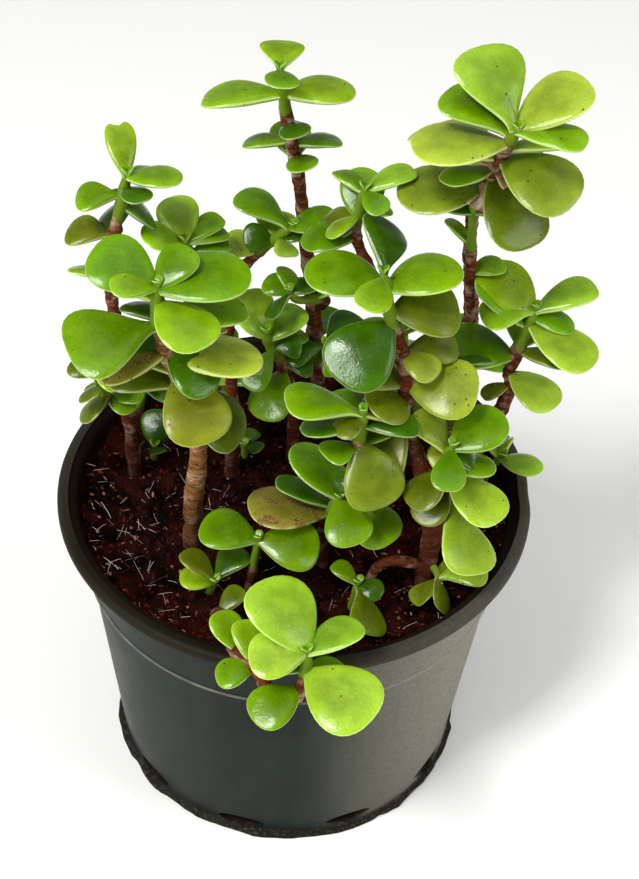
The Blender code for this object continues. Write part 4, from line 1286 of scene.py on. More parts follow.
@dataclass(frozen=True)
class LeafBlade:
    """One jade leaf blade of a nominal length, in millimetres, that is scaled to each leaf."""

    root_taper: float = 0.8
    tip_taper: float = 0.5
    cup: float = -0.4
    droop: float = 0.0
    lean: float = 0.3
    ripple: float = 0.12
    notch: float = 0.0
    breadth: float = 1.0
    stalk: float = 1.1
    length: float = 16.0
    outline: int = 32

    def half_width(self, t: float) -> float:
        """Return half the blade's width at a share of its length.

        Args:
            t: that share.

        Returns:
            Half the width, with the stalk's.
        """
        a, b = self.root_taper, self.tip_taper
        peak = (a / (a + b)) ** a * (b / (a + b)) ** b
        width = self.breadth * RULE.leaf_ratio * self.length / 2 * t ** a * (1 - t) ** b / peak
        return (width ** 3 + (self.stalk * (1 - t)) ** 3) ** (1 / 3)

    def margin_line(self) -> list[tuple[float, float]]:
        """Return the outline, from the root round the tip and back."""
        line = [(0.0, 0.0), (0.0, 0.55 * self.stalk)]
        for n in range(1, self.outline):
            turn = 2 * math.pi * n / self.outline
            t = (1 - math.cos(turn)) / 2
            y = math.copysign(self.half_width(t), math.sin(turn)) if t < 1 else 0.0
            bite = self.notch * math.exp(-((y - 0.6) / 1.5) ** 2) if t > 0.6 else 0.0
            line.append((t * self.length - bite, y + self.lean * math.sin(math.pi * t)))
        return line + [(0.0, -0.55 * self.stalk)]

    def lift_at(self, x: float, y: float, edge: float, phase: float) -> float:
        """Return the height of the blade's middle sheet.

        Args:
            x: the place along the blade.
            y: the place across it.
            edge: how near the outline it is, from 0 to 1.
            phase: the ripple's phase.

        Returns:
            The height.
        """
        t = min(1.0, max(0.0, x / self.length))
        arch = RULE.rise * self.length * math.sin(math.pi * t)
        wave = self.ripple * edge * smooth_share(2 * t - 0.3) * math.sin(phase)
        return arch + self.cup * (y / 7.0) ** 2 * t + self.droop * t * t + wave

    def fullness(self, x: float, y: float) -> float:
        """Return the blade's thickness at a place, as a share: full in the middle, round to the margin.

        Args:
            x: the place along the blade.
            y: the place across it.

        Returns:
            The share.
        """
        t = min(0.999, max(0.001, x / self.length))
        aside = min(1.0, abs(y - self.lean * math.sin(math.pi * t)) / self.half_width(t))
        ahead = max(0.0, (t - 0.6) / 0.4)
        return math.sqrt((1 - aside ** 4) * (1 - ahead ** 4))

    def build(self, name: str) -> Object:
        """Make the blade: a margin ring, four rings inside it on each face, and two middles.

        Args:
            name: the object's name.

        Returns:
            The blade.
        """
        line = self.margin_line()
        centre = Vector((0.58 * self.length, self.lean * math.sin(0.58 * math.pi)))
        thickness = RULE.half_thickness(self.length)
        points: list[Vector] = []
        facts: list[tuple[float, float, float, float]] = []

        def add_ring(inset: Optional[float], share: float, margin: float, side: int) -> None:
            """Add one ring of the blade on its upper (1), lower (-1) or outer (0) side.

            Args:
                inset: how far inside the outline it runs, or None.
                share: its scale otherwise.
                margin: how much of the margin's colour it has.
                side: 1, -1 or 0.
            """
            for n, place in enumerate(line):
                spoke = Vector(place) - centre
                scale = 1 - inset / spoke.length if inset is not None else share
                x, y = centre + spoke * scale
                t = min(1.0, max(0.0, x / self.length))
                full = math.sin(math.pi * min(1.0, t * RULE.plump_forward))
                half = thickness * (0.6 + 0.4 * full) * self.fullness(x, y) * (0.9 if side > 0 else 1.0)
                middle = self.lift_at(x, y, scale, 3 * 2 * math.pi * n / len(line) + 1.0)
                points.append(Vector((x, y, middle + side * half)))
                facts.append((margin, t, 0.5 + 0.5 * side, scale))

        add_ring(0.0, 1.0, 1.0, 0)
        rings = ((0.1, 0.0, 0.4), (0.5, 0.0, 0.0), (None, 0.8, 0.0), (None, 0.48, 0.0))
        for side in (1, -1):
            for inset, share, margin in rings:
                add_ring(inset, share, margin, side)
        for side in (1, -1):
            middle = self.lift_at(centre.x, 0.0, 0.0, 0.0)
            points.append(Vector((*centre, middle + side * thickness)))
            facts.append((0.0, 0.58, 0.5 + 0.5 * side, 0.0))
        count = len(line)
        faces: list[tuple[int, ...]] = []
        for which, side in enumerate((1, -1)):
            starts = [0] + [count * (1 + which * len(rings) + n) for n in range(len(rings))]
            tip = len(points) - 2 + which
            for n in range(count):
                after = (n + 1) % count
                loops = [(a + n, b + n, b + after, a + after) for a, b in zip(starts, starts[1:])]
                loops.append((starts[-1] + n, tip, starts[-1] + after))
                faces += loops if side > 0 else [tuple(reversed(loop)) for loop in loops]
        blade = add_mesh(name, points, faces)
        for label, column in (("margin", 0), ("along", 1), ("upper", 2), ("spread", 3)):
            store(blade.data, label, "FLOAT", [fact[column] for fact in facts])
        return blade


FORM_BLADES: dict[Form, dict[str, float]] = {
    Form.ROUND: {"root_taper": 0.85, "tip_taper": 0.43, "cup": -0.4},
    Form.SPOON: {"root_taper": 1.35, "tip_taper": 0.43, "cup": -0.5},
    Form.EGG: {"root_taper": 0.8, "tip_taper": 0.52, "cup": -0.3},
    Form.OBLONG: {"root_taper": 0.9, "tip_taper": 0.37, "cup": 0.2, "breadth": 0.74},
    Form.CUPPED: {"root_taper": 0.9, "tip_taper": 0.5, "cup": 2.2, "droop": 1.2},
    Form.NOTCHED: {"root_taper": 0.8, "tip_taper": 0.4, "cup": 0.2, "notch": 1.9, "breadth": 0.6},
}


@dataclass
class LeafFoundry:
    """The blades that every leaf is scaled from: a few of each form, no two alike."""

    takes: int = 3
    seed: int = 11
    index: dict[Form, list[int]] = field(default_factory=dict)
    collection: Optional[Collection] = None

    def build(self) -> None:
        """Make each form's blades in a collection of their own."""
        rng = random.Random(self.seed)
        self.collection = bpy.data.collections.new("leaf_blades")
        bpy.context.scene.collection.children.link(self.collection)
        made = 0
        for form, sizes in FORM_BLADES.items():
            self.index[form] = []
            for _ in range(self.takes):
                blade = LeafBlade(**{**sizes, "cup": sizes["cup"] + rng.uniform(-0.25, 0.25),
                                     "lean": rng.uniform(-0.5, 0.5), "ripple": rng.uniform(0.06, 0.22)})
                obj = blade.build("blade_%02d" % made)
                bpy.context.scene.collection.objects.unlink(obj)
                self.collection.objects.link(obj)
                self.index[form].append(made)
                made += 1

    def clear(self) -> None:
        """Remove the blades once every shoot has its leaves."""
        for obj in list(self.collection.objects):
            bpy.data.objects.remove(obj, do_unlink=True)
        bpy.data.collections.remove(self.collection)


@dataclass
class StemSkinTree:
    """The node tree that turns a stem's line into skin and bark, and its points into leaves."""

    sides: int = 14
    knob_mm: float = 1.3
    knob_cell_mm: float = 3.4
    ring_spacing_mm: float = 3.3
    ring_width_mm: float = 0.6
    ring_height_mm: float = 0.16
    tree: Optional[NodeTree] = None

    def build(self) -> NodeTree:
        """Make the tree; it reads the line's radius, age and place, and the leaves' poses."""
        tree, source = new_tree("leafy_stem", (
            ("Blades", "NodeSocketCollection", None), ("Stem Sides", "NodeSocketInt", self.sides),
            ("Knob Height", "NodeSocketFloat", self.knob_mm * MM),
            ("Ring Spacing", "NodeSocketFloat", self.ring_spacing_mm),
            ("Ring Height", "NodeSocketFloat", self.ring_height_mm * MM),
            ("Stem Skin", "NodeSocketMaterial", None), ("Leaf Skin", "NodeSocketMaterial", None)))
        node = partial(add_node, tree)
        is_leaf = node(NAMED, {"Name": "is_leaf"}, data_type="BOOLEAN")
        split = node("GeometryNodeSeparateGeometry", {"Geometry": source.outputs["Geometry"],
                                                      "Selection": is_leaf}, domain="POINT")
        stem = self.add_stem(tree, source, split.outputs["Inverted"])
        leaves = self.add_leaves(tree, source, split.outputs["Selection"])
        both = node("GeometryNodeJoinGeometry", {0: [stem, leaves]})
        smooth = node("GeometryNodeSetShadeSmooth", {"Geometry": both})
        node("NodeGroupOutput", {0: smooth})
        self.tree = tree
        return tree

    def add_stem(self, tree: NodeTree, source: Node, line: NodeSocket) -> Node:
        """Sweep the stem's section along its line, knob it and raise its leaf-scar rings.

        Args:
            tree: the shoot's node tree.
            source: its group input.
            line: the stem's line.

        Returns:
            The node with the finished stem.
        """
        node = partial(add_node, tree)
        radius = node(NAMED, {"Name": "stem_radius"}, data_type="FLOAT")
        age = node(NAMED, {"Name": "age"}, data_type="FLOAT")
        along = node(NAMED, {"Name": "along_mm"}, data_type="FLOAT")
        curve = node("GeometryNodeMeshToCurve", {0: line})
        ring = node("GeometryNodeCurvePrimitiveCircle", {"Resolution": source.outputs["Stem Sides"],
                                                         "Radius": 1.0}, mode="RADIUS")
        skin = node(SKIN, {"Curve": curve, "Profile Curve": ring, "Scale": radius, "Fill Caps": True})
        place = node("GeometryNodeInputPosition")
        lumps = node(NOISE, {"Vector": place, "Scale": 1 / (self.knob_cell_mm * MM), "Detail": 2.0})
        centred = node(MATH, {0: lumps, 1: 0.5}, operation="SUBTRACT")
        knob = node(MATH, {0: centred, 1: source.outputs["Knob Height"]}, operation="MULTIPLY")
        half = node(MATH, {0: source.outputs["Ring Spacing"], 1: 0.5}, operation="MULTIPLY")
        wavy = node(MATH, {0: lumps, 1: 6.0, 2: along}, operation="MULTIPLY_ADD")
        near = node(MATH, {0: wavy, 1: half}, operation="PINGPONG")
        bead = node(RANGE, {OF: near, LOW: self.ring_width_mm, HIGH: 0.0}, interpolation_type="SMOOTHSTEP")
        both = node(MATH, {0: bead, 1: source.outputs["Ring Height"], 2: knob}, operation="MULTIPLY_ADD")
        aged = node(MATH, {0: both, 1: age}, operation="MULTIPLY")
        normal = node("GeometryNodeInputNormal")
        push = node("ShaderNodeVectorMath", {"Vector": normal, "Scale": aged}, operation="SCALE")
        moved = node("GeometryNodeSetPosition", {"Geometry": skin, "Offset": push})
        return node("GeometryNodeSetMaterial", {"Geometry": moved, "Material": source.outputs["Stem Skin"]})

    def add_leaves(self, tree: NodeTree, source: Node, places: NodeSocket) -> Node:
        """Put the blade that each leaf point names on it, turned and scaled as the point says.

        Args:
            tree: the shoot's node tree.
            source: its group input.
            places: the leaf points.

        Returns:
            The node with the finished leaves.
        """
        node = partial(add_node, tree)
        form = node(NAMED, {"Name": "form"}, data_type="INT")
        turn = node(NAMED, {"Name": "turn"}, data_type="FLOAT_VECTOR")
        size = node(NAMED, {"Name": "size"}, data_type="FLOAT_VECTOR")
        points = node("GeometryNodeMeshToPoints", {0: places})
        blades = node("GeometryNodeCollectionInfo", {"Collection": source.outputs["Blades"],
                                                     "Separate Children": True, "Reset Children": True})
        rotation = node("FunctionNodeEulerToRotation", {0: turn})
        placed = node("GeometryNodeInstanceOnPoints",
                      {"Points": points, "Instance": blades, "Pick Instance": True,
                       "Instance Index": form, "Rotation": rotation, "Scale": size})
        real = node("GeometryNodeRealizeInstances", {0: placed})
        return node("GeometryNodeSetMaterial", {"Geometry": real, "Material": source.outputs["Leaf Skin"]})


@dataclass
class LinePoint:
    """One point of a stem's line with what the skin tree reads there."""

    place: Vector
    radius: float
    age: float
    along: float
    tone: float


@dataclass
class Limb:
    """One dressed piece of the plant: bare wood, or a green shoot with its leaves."""

    growth: StemGrowth
    foundry: LeafFoundry
    skin: StemSkinTree
    seed: int
    step_mm: float = 1.1
    node_swell_mm: float = 0.28
    uneven: float = 0.22
    arch_share: float = 0.8
    tip_mm: float = 2.6
    tip_radius_mm: float = 0.4
    bud_mm: float = 3.2
    cork_length_mm: float = 10.0

    def line(self, start: float, end: float, root: float) -> list[LinePoint]:
        """Return the finely stepped line between two distances, from root millimetres below its start.

        Args:
            start: the first distance along the stem.
            end: the last.
            root: the depth of its root.

        Returns:
            The line's points.
        """
        growth = self.growth
        plan = growth.plan
        fine = smooth_route(plan.route, self.step_mm)
        stretch = route_length(fine) / growth.length
        points = cut_route(fine, start * stretch, end * stretch, self.step_mm * 0.4)
        if root:
            points = [points[0] - Vector((0, 0, root))] + points
        nodes = [growth.length - place for place, _ in growth.taken if place > self.tip_mm]
        made = []
        walked = start * stretch - root
        for n, point in enumerate(points):
            if n:
                walked += (point - points[n - 1]).length
            distance = walked / stretch
            swell = max((math.exp(-((distance - node) / 0.9) ** 2) for node in nodes), default=0.0)
            girth = 1 + self.uneven * noise.noise(Vector((distance / 6.5, self.seed, 0.0)))
            radius = growth.radius(distance) * girth + self.node_swell_mm * swell
            closing = smooth_share((distance - growth.length) / self.tip_mm + 1)
            radius += (self.tip_radius_mm - radius) * closing
            age = smooth_share((growth.length - plan.green - distance) / self.cork_length_mm + 0.5)
            made.append(LinePoint(point, radius, age, distance, plan.bark.value))
        return made

    def arch_line(self) -> list[LinePoint]:
        """Return the line of the arched root."""
        points = smooth_route(self.growth.plan.arch, self.step_mm)
        points.append(points[-1] - Vector((0, 0, RULE.root_depth)))
        thick, thin = RULE.arch_radii
        share = 1 / (len(points) - 1)
        return [LinePoint(point, (thick + (thin - thick) * n * share) * self.arch_share, 1.0,
                          40 + n * self.step_mm,
                          self.growth.plan.bark.value) for n, point in enumerate(points)]

    def buds(self) -> list[LeafPose]:
        """Return the pair of unopened leaves at the shoot's tip."""
        top = self.growth.points[-1] - Vector((0, 0, 1.3))
        heading = self.growth.leaves[0].heading + 90
        return [LeafPose(top, heading + turn, 66, self.bud_mm, 0, Tone.GREEN, Form.OBLONG) for turn in (0,
                                                                                                        180)]

    def build_wood(self) -> Optional[Object]:
        """Build the bare woody part, or return None where the stem has none."""
        plan = self.growth.plan
        if not plan.wood:
            return None
        lines = [self.line(0.0, plan.wood + 0.2, RULE.root_depth)]
        if plan.arch:
            lines.append(self.arch_line())
        return self.bake("Wood_" + plan.name, lines, [])

    def build_shoot(self) -> Object:
        """Build the green shoot with its leaves."""
        growth = self.growth
        rooted = growth.plan.carrier == "soil" and not growth.plan.wood
        start = growth.plan.wood if growth.plan.wood else 0.0
        line = self.line(start, growth.length, RULE.root_depth if rooted else 0.0)
        return self.bake("Shoot_" + growth.plan.name, [line], growth.leaves + self.buds())

    def bake(self, name: str, lines: list[list[LinePoint]], leaves: list[LeafPose]) -> Object:
        """Run the skin tree on lines and leaf points.

        Args:
            name: the piece's name.
            lines: the stem lines.
            leaves: the leaves' poses.

        Returns:
            The dressed piece as a plain mesh object.
        """
        rng = random.Random(self.seed)
        stem_points = [point for line in lines for point in line]
        edges = []
        first = 0
        for line in lines:
            edges += [(n, n + 1) for n in range(first, first + len(line) - 1)]
            first += len(line)
        mesh = bpy.data.meshes.new(name)
        places = [p.place * MM for p in stem_points] + [leaf.base * MM for leaf in leaves]
        mesh.from_pydata(places, edges, [])
        blank = len(leaves)
        store(mesh, "is_leaf", "BOOLEAN", [False] * len(stem_points) + [True] * blank)
        store(mesh, "stem_radius", "FLOAT", [p.radius * MM for p in stem_points] + [0.0] * blank)
        store(mesh, "age", "FLOAT", [p.age for p in stem_points] + [0.0] * blank)
        store(mesh, "along_mm", "FLOAT", [p.along for p in stem_points] + [0.0] * blank)
        store(mesh, "bark_tone", "FLOAT", [p.tone for p in stem_points] + [0.0] * blank)
        rows = [self.leaf_row(leaf, rng) for leaf in leaves]
        ahead = len(stem_points)
        store(mesh, "form", "INT", [0] * ahead + [row[0] for row in rows])
        store(mesh, "turn", "FLOAT_VECTOR", [(0, 0, 0)] * ahead + [row[1] for row in rows])
        store(mesh, "size", "FLOAT_VECTOR", [(1, 1, 1)] * ahead + [row[2] for row in rows])
        store(mesh, "leaf_colour", "FLOAT_COLOR", [(0, 0, 0, 1)] * ahead + [row[3] for row in rows])
        store(mesh, "wear", "FLOAT", [0.0] * ahead + [row[4] for row in rows])
        holder = bpy.data.objects.new(name + "_line", mesh)
        bpy.context.scene.collection.objects.link(holder)
        piece = bake_nodes(holder, self.skin.tree, {
            "Blades": self.foundry.collection, "Stem Sides": self.skin.sides,
            "Knob Height": self.skin.knob_mm * MM, "Ring Spacing": self.skin.ring_spacing_mm,
            "Ring Height": self.skin.ring_height_mm * MM,
            "Stem Skin": JadeStemSkin().material(), "Leaf Skin": JadeLeafSkin().material()}, name)
        for label in ("is_leaf", "stem_radius", "form", "turn", "size"):
            if label in piece.data.attributes:
                piece.data.attributes.remove(piece.data.attributes[label])
        return piece

    def leaf_row(self, leaf: LeafPose, rng: random.Random) -> tuple[int, Any, Any, Colour, float]:
        """Return a leaf's blade number, turn, scale, colour and wear.

        Args:
            leaf: the leaf.
            rng: draws what is left to chance.

        Returns:
            Those five.
        """
        form = leaf.form or rng.choice((Form.ROUND, Form.ROUND, Form.SPOON, Form.EGG, Form.OBLONG))
        forward, across, normal = leaf.axes()
        turn = Matrix((forward, across, normal)).transposed().to_euler()
        scale = leaf.length / LeafBlade.length
        thick = RULE.half_thickness(leaf.length) / RULE.half_thickness(LeafBlade.length)
        look = TONE_LOOKS[leaf.tone]
        bright = rng.uniform(0.88, 1.1)
        warm = rng.uniform(-0.06, 0.08)
        red, green, blue, _ = linear(look.colour)
        colour = (red * bright * (1 + 2 * warm), green * bright * (1 + 0.3 * warm), blue * bright, 1.0)
        wear = min(1.0, max(0.0, look.wear + rng.uniform(-0.12, 0.12)))
        return (rng.choice(self.foundry.index[form]), tuple(turn),
                (scale, scale * rng.uniform(0.95, 1.03), thick), colour, wear)


# Pot and soil

@dataclass
class NurseryPot:
    """The moulded pot: rolled rim, flared lip, step line, tapered wall, foot flange and drain slots."""

    height: float = 91.0
    rim_radius: float = 62.5
    rim_width: float = 4.0
    rim_depth: float = 3.4
    foot_radius: float = 48.6
    flange: float = 1.6
    flange_height: float = 2.2
    wall: float = 1.2
    floor: float = 2.0
    step_below_rim: float = 22.5
    step_depth: float = 0.75
    lip_flare: float = 2.0
    lip_flare_depth: float = 4.5
    slots: int = 10
    slot_width: float = 13.0
    slot_height: float = 4.2
    first_slot: float = 222.0
    sides: int = 144

    def outer(self, height: float) -> float:
        """Return the wall's outer radius at a height."""
        share = (height - self.flange_height) / (self.height - self.flange_height)
        return self.foot_radius + (self.rim_radius - self.rim_width - self.foot_radius) * share

    def inner(self, height: float) -> float:
        """Return the wall's inner radius at a height."""
        return self.outer(height) - self.wall

    def profile(self) -> list[tuple[float, float]]:
        """Return the wall's section, from the middle of the foot round the rim to the middle of the floor."""
        step = self.height - self.step_below_rim
        low = self.height - self.rim_depth
        foot = self.foot_radius + self.flange
        line = [(0, 0.0), (foot - 0.7, 0.0), (foot - 0.2, 0.2), (foot, 0.7), (foot - 0.05, 1.4)]
        line += [(foot - 0.4, 2.0), (self.foot_radius + 0.35, 2.4), (self.foot_radius + 0.1, 3.2)]
        line += [(self.outer(h) - self.step_depth * h / step, h) for h in (6, 16, 28, 40, 52, 61, 67)]
        line += [(self.outer(step) - self.step_depth, step - 0.5), (self.outer(step) - 0.1, step - 0.2)]
        line += [(self.outer(step) + 0.25, step), (self.outer(step) + 0.2, step + 0.25)]
        line += [(self.outer(step) - 0.1, step + 0.55), (self.outer(step), step + 1.4)]
        line += [(self.outer(low - 4), low - 4), (self.outer(low), low)]
        line += [(self.rim_radius - 0.9, low), (self.rim_radius - 0.25, low + 0.25),
                 (self.rim_radius, low + 0.9)]
        for n in range(7):
            angle = math.pi / 2 * n / 6
            line.append((self.rim_radius - 1.3 + 1.3 * math.cos(angle),
                         self.height - 1.3 + 1.3 * math.sin(angle)))
        lip = self.inner(self.height) + self.lip_flare
        line += [(self.rim_radius - 2.0, self.height - 0.04), (lip + 0.9, self.height - 0.1)]
        for n in range(5):
            angle = math.pi / 2 * n / 4
            line.append((lip + 0.45 * (1 - math.sin(angle)),
                         self.height - 0.1 - 0.45 * (1 - math.cos(angle))))
        flare = self.height - self.lip_flare_depth
        line += [(self.inner(flare) + self.lip_flare * (n / 4) ** 2, flare + self.lip_flare_depth * n / 4)
                 for n in (3, 2, 1, 0)]
        line += [(self.inner(h), h) for h in (84, 60, 30, 6)]
        line += [(self.inner(self.floor + 1.5) - 0.2, self.floor + 1.4),
                 (self.inner(self.floor) - 1.5, self.floor)]
        return line + [(0, self.floor)]

    def slot_cutter(self, heading: float, size: float) -> Object:
        """Return the lens-shaped cutter of one drain slot.

        Args:
            heading: the slot's heading in degrees.
            size: its share of the full size.

        Returns:
            The cutter.
        """
        turn = Matrix.Rotation(math.radians(heading), 3, "Z")
        count = 20
        points = []
        for radius in (self.foot_radius - 5, self.foot_radius + 5):
            for n in range(count):
                angle = 2 * math.pi * n / count
                up = math.sin(angle) * self.slot_height / 2 * size
                middle = self.floor + 0.3 + self.slot_height / 2
                points.append(turn @ Vector((radius, math.cos(angle) * self.slot_width / 2 * size,
                                             middle + up)))
        faces = [tuple(reversed(range(count))), tuple(range(count, 2 * count))]
        faces += [(n, (n + 1) % count, count + (n + 1) % count, count + n) for n in range(count)]
        return add_mesh("slot_cutter", points, faces)

    def build(self) -> Object:
        """Turn the pot, cut its slots and roughen the trimmed edge of its foot."""
        finish = MouldedPolypropylene().material()
        pot = add_mesh("Pot", *turned(self.profile(), self.sides), [finish])
        rng = random.Random(5)
        cutters = [self.slot_cutter(self.first_slot + 360 * n / self.slots, rng.uniform(0.8, 1.1))
                   for n in range(self.slots)]
        group = bpy.data.collections.new("slot_cutters")
        bpy.context.scene.collection.children.link(group)
        for cutter in cutters:
            bpy.context.scene.collection.objects.unlink(cutter)
            group.objects.link(cutter)
        cut = pot.modifiers.new("slots", "BOOLEAN")
        cut.operation, cut.solver = "DIFFERENCE", "EXACT"
        cut.operand_type, cut.collection = "COLLECTION", group
        mesh = bpy.data.meshes.new_from_object(pot.evaluated_get(bpy.context.evaluated_depsgraph_get()))
        pot.modifiers.clear()
        pot.data = mesh
        for cutter in cutters:
            bpy.data.objects.remove(cutter, do_unlink=True)
        bpy.data.collections.remove(group)
        self.settle(mesh)
        mesh.set_sharp_from_angle(angle=math.radians(42))
        return pot

    def dent(self, angle: float, height: float) -> float:
        """Return how far the thin rim is pressed in at an angle round the pot and a height."""
        return 0.5 * math.exp(-((angle - 0.03) / 0.07) ** 2) * smooth_share((height - 62) / 26)

    def settle(self, mesh: Mesh) -> None:
        """Wave the flange's edge and the wall, as thin pots are never quite true, and mark the inside.

        Args:
            mesh: the pot's mesh.
        """
        lip = self.inner(self.height) + self.lip_flare + 0.4
        # Mark the inside, which gets soil stain and painted shade.
        within = []
        for point in mesh.vertices:
            x, y, z = point.co / MM
            radius = math.hypot(x, y)
            angle = math.atan2(y, x)
            reach = lip if z > self.height - self.rim_depth + 0.1 else self.outer(z) - self.step_depth - 0.2
            within.append(1.0 if radius < reach and z > 1 else 0.0)
            wave = 0.25 * math.sin(2 * angle + 0.7) * z / self.height - self.dent(angle, z)
            if radius > self.foot_radius + 0.6 and 0.05 < z < 3:
                wave += 0.5 * noise.noise(Vector((x / 2.5, y / 2.5, 3.0))) + 0.7 * noise.noise(point.co * 120)
            if radius > 5 and z > 0.05:
                point.co += Vector((x, y, 0)) / radius * wave * MM
        store(mesh, "inside", "FLOAT", within)


@dataclass(frozen=True)
class LitterLie:
    """How one kind of litter varies and lies: scales, lean in radians, finish input and seed shift."""

    least: tuple[float, float, float]
    most: tuple[float, float, float]
    tumble: float
    finish: str
    seed_shift: int


CRUMB_LIE = LitterLie((0.25, 0.25, 0.2), (2.2, 1.5, 0.9), 1.2, "Crumb Finish", 0)
FIBRE_LIE = LitterLie((0.12, 0.4, 0.4), (1.15, 1.15, 1.15), 0.3, "Fibre Finish", 9)
STRAND_RADIUS = 0.055
STRAND_BENDS = ((0.03, 0.05), (-0.05, 0.02), (0.12, -0.1))


@dataclass
class SoilBed:
    """The fill of peat and coir, with loose crumbs and fibres on it."""

    pot: NurseryPot
    level: float = 80.0
    dish: float = 8.6
    dish_power: int = 10
    drop: float = 0.6
    lip_gap: float = 0.7
    gap: float = 0.3
    sides: int = 144
    rings: int = 58
    crumbs_per_cm2: float = 60.0
    crumb_mm: float = 0.5
    fibres_per_cm2: float = 10.0
    fibre_mm: float = 7.0
    seed: int = 4

    @property
    def edge(self) -> float:
        """Return the radius where the soil meets the flared lip."""
        return self.pot.inner(self.pot.height) + self.pot.lip_flare - self.lip_gap

    def height(self, x: float, y: float) -> float:
        """Return the soil's height: the solid's broad lumps with clods on them, banked up at the wall.

        Args:
            x: the place's x.
            y: its y.

        Returns:
            The height.
        """
        lumps = 1.1 * math.sin(x / 7.5 + 1.0) * math.cos(y / 9.0) + 0.8 * math.sin(x / 3.9 - y / 5.1)
        bank = (math.hypot(x, y) / self.edge) ** self.dish_power
        clods = 1.5 * noise.fractal(Vector((x / 4.5, y / 4.5, 2.0)), 0.9, 2.1, 4)
        return self.level + self.dish * bank - self.drop + (lumps + clods) * (1 - 0.85 * bank)

    def fibre_share(self, x: float, y: float) -> float:
        """Return how thickly fibres lie: most at the front left, few under the leaves.

        Args:
            x: the place's x.
            y: its y.

        Returns:
            The share.
        """
        patch = 0.5 + 0.5 * noise.noise(Vector((x / 14, y / 14, 7.0)))
        left = math.exp(-((x + 42) / 13) ** 2 - ((y + 16) / 20) ** 2)
        return 0.03 + 0.15 * patch + 4.2 * left * max(0.0, patch - 0.35)

    def build(self) -> Object:
        """Build the closed fill and scatter its litter."""
        edge = self.edge
        radii = [edge * (1 - n / self.rings) ** 0.92 for n in range(self.rings)]
        floor = self.pot.floor + self.gap
        foot = self.pot.inner(floor + 1.5) - self.gap - 1.6
        low, flare = self.level - 4, self.pot.height - self.pot.lip_flare_depth
        profile = [(0, floor), (foot, floor), (foot + 1.2, floor + 2.5)]
        profile += [(self.pot.inner(z) - self.gap, z) for z in (low, flare)]
        points, faces = turned(profile + [(radius, self.level) for radius in radii] + [(0, self.level)],
                               self.sides)
        points = [(x, y, self.height(x, y)) if z == self.level else (x, y, z) for x, y, z in points]
        bed = add_mesh("soil_bed", points, faces, [PeatAndCoir().material()])
        store(bed.data, "litter", "FLOAT", [
            1.0 if z not in (low, flare) and z > low and math.hypot(x, y) < edge - 0.5 else 0.0
            for x, y, z in points])
        store(bed.data, "fibre_share", "FLOAT", [self.fibre_share(x, y) for x, y, _ in points])
        piece = bake_nodes(bed, self.litter_tree(), {
            "Crumb Density": self.crumbs_per_cm2 * 1e4, "Crumb Size": self.crumb_mm * MM,
            "Fibre Density": self.fibres_per_cm2 * 1e4, "Fibre Length": self.fibre_mm * MM, "Seed": self.seed,
            "Crumb Finish": PeatAndCoir().material(), "Fibre Finish": CoirFibre().material()}, "Soil")
        for label in ("litter", "fibre_share"):
            if label in piece.data.attributes:
                piece.data.attributes.remove(piece.data.attributes[label])
        return piece

    def litter_tree(self) -> NodeTree:
        """Make the tree that scatters crumbs and fibres on the soil's top."""
        tree, source = new_tree("soil_litter", (
            ("Crumb Density", "NodeSocketFloat", 2e5), ("Crumb Size", "NodeSocketFloat", 0.7 * MM),
            ("Fibre Density", "NodeSocketFloat", 5e4), ("Fibre Length", "NodeSocketFloat", 7 * MM),
            ("Seed", "NodeSocketInt", 1), ("Crumb Finish", "NodeSocketMaterial", None),
            ("Fibre Finish", "NodeSocketMaterial", None)))
        node = partial(add_node, tree)
        open_soil = node(NAMED, {"Name": "litter"}, data_type="FLOAT")
        share = node(NAMED, {"Name": "fibre_share"}, data_type="FLOAT")
        grit = node(MATH, {0: open_soil, 1: source.outputs["Crumb Density"]}, operation="MULTIPLY")
        straw = node(MATH, {0: share, 1: source.outputs["Fibre Density"]}, operation="MULTIPLY")
        straw = node(MATH, {0: straw, 1: open_soil}, operation="MULTIPLY")
        crumb = node("GeometryNodeMeshIcoSphere", {"Radius": source.outputs["Crumb Size"], "Subdivisions": 1})
        crumb = node(INSTANCE, {0: crumb})
        crumbs = self.scatter(tree, source, grit, crumb, CRUMB_LIE)
        fibres = self.scatter(tree, source, straw, self.fibre_set(tree, source), FIBRE_LIE)
        both = node("GeometryNodeJoinGeometry", {0: [source.outputs["Geometry"], crumbs, fibres]})
        node("NodeGroupOutput", {0: both})
        return tree

    @staticmethod
    def fibre_set(tree: NodeTree, source: Node) -> Node:
        """Return three bent strands as instances to pick from.

        Args:
            tree: the soil's node tree.
            source: its group input.

        Returns:
            The node that joins the strands.
        """
        node = partial(add_node, tree)
        ring = node("GeometryNodeCurvePrimitiveCircle", {"Resolution": 4, "Radius": STRAND_RADIUS * MM},
                    mode="RADIUS")
        scale = node("ShaderNodeCombineXYZ", {axis: source.outputs["Fibre Length"] for axis in range(3)})
        strands = []
        for bend, kink in STRAND_BENDS:
            line = node("GeometryNodeCurvePrimitiveBezierSegment",
                        {"Resolution": 7, "Start": (-0.5, 0, 0), "Start Handle": (-0.2, bend, 0.05),
                         "End Handle": (0.2, kink, 0.12), "End": (0.5, 0, 0.02)})
            sized = node("GeometryNodeTransform", {"Geometry": line, "Scale": scale})
            skin = node(SKIN, {"Curve": sized, "Profile Curve": ring, "Fill Caps": True})
            strands.append(node(INSTANCE, {0: skin}))
        return node("GeometryNodeJoinGeometry", {0: strands})

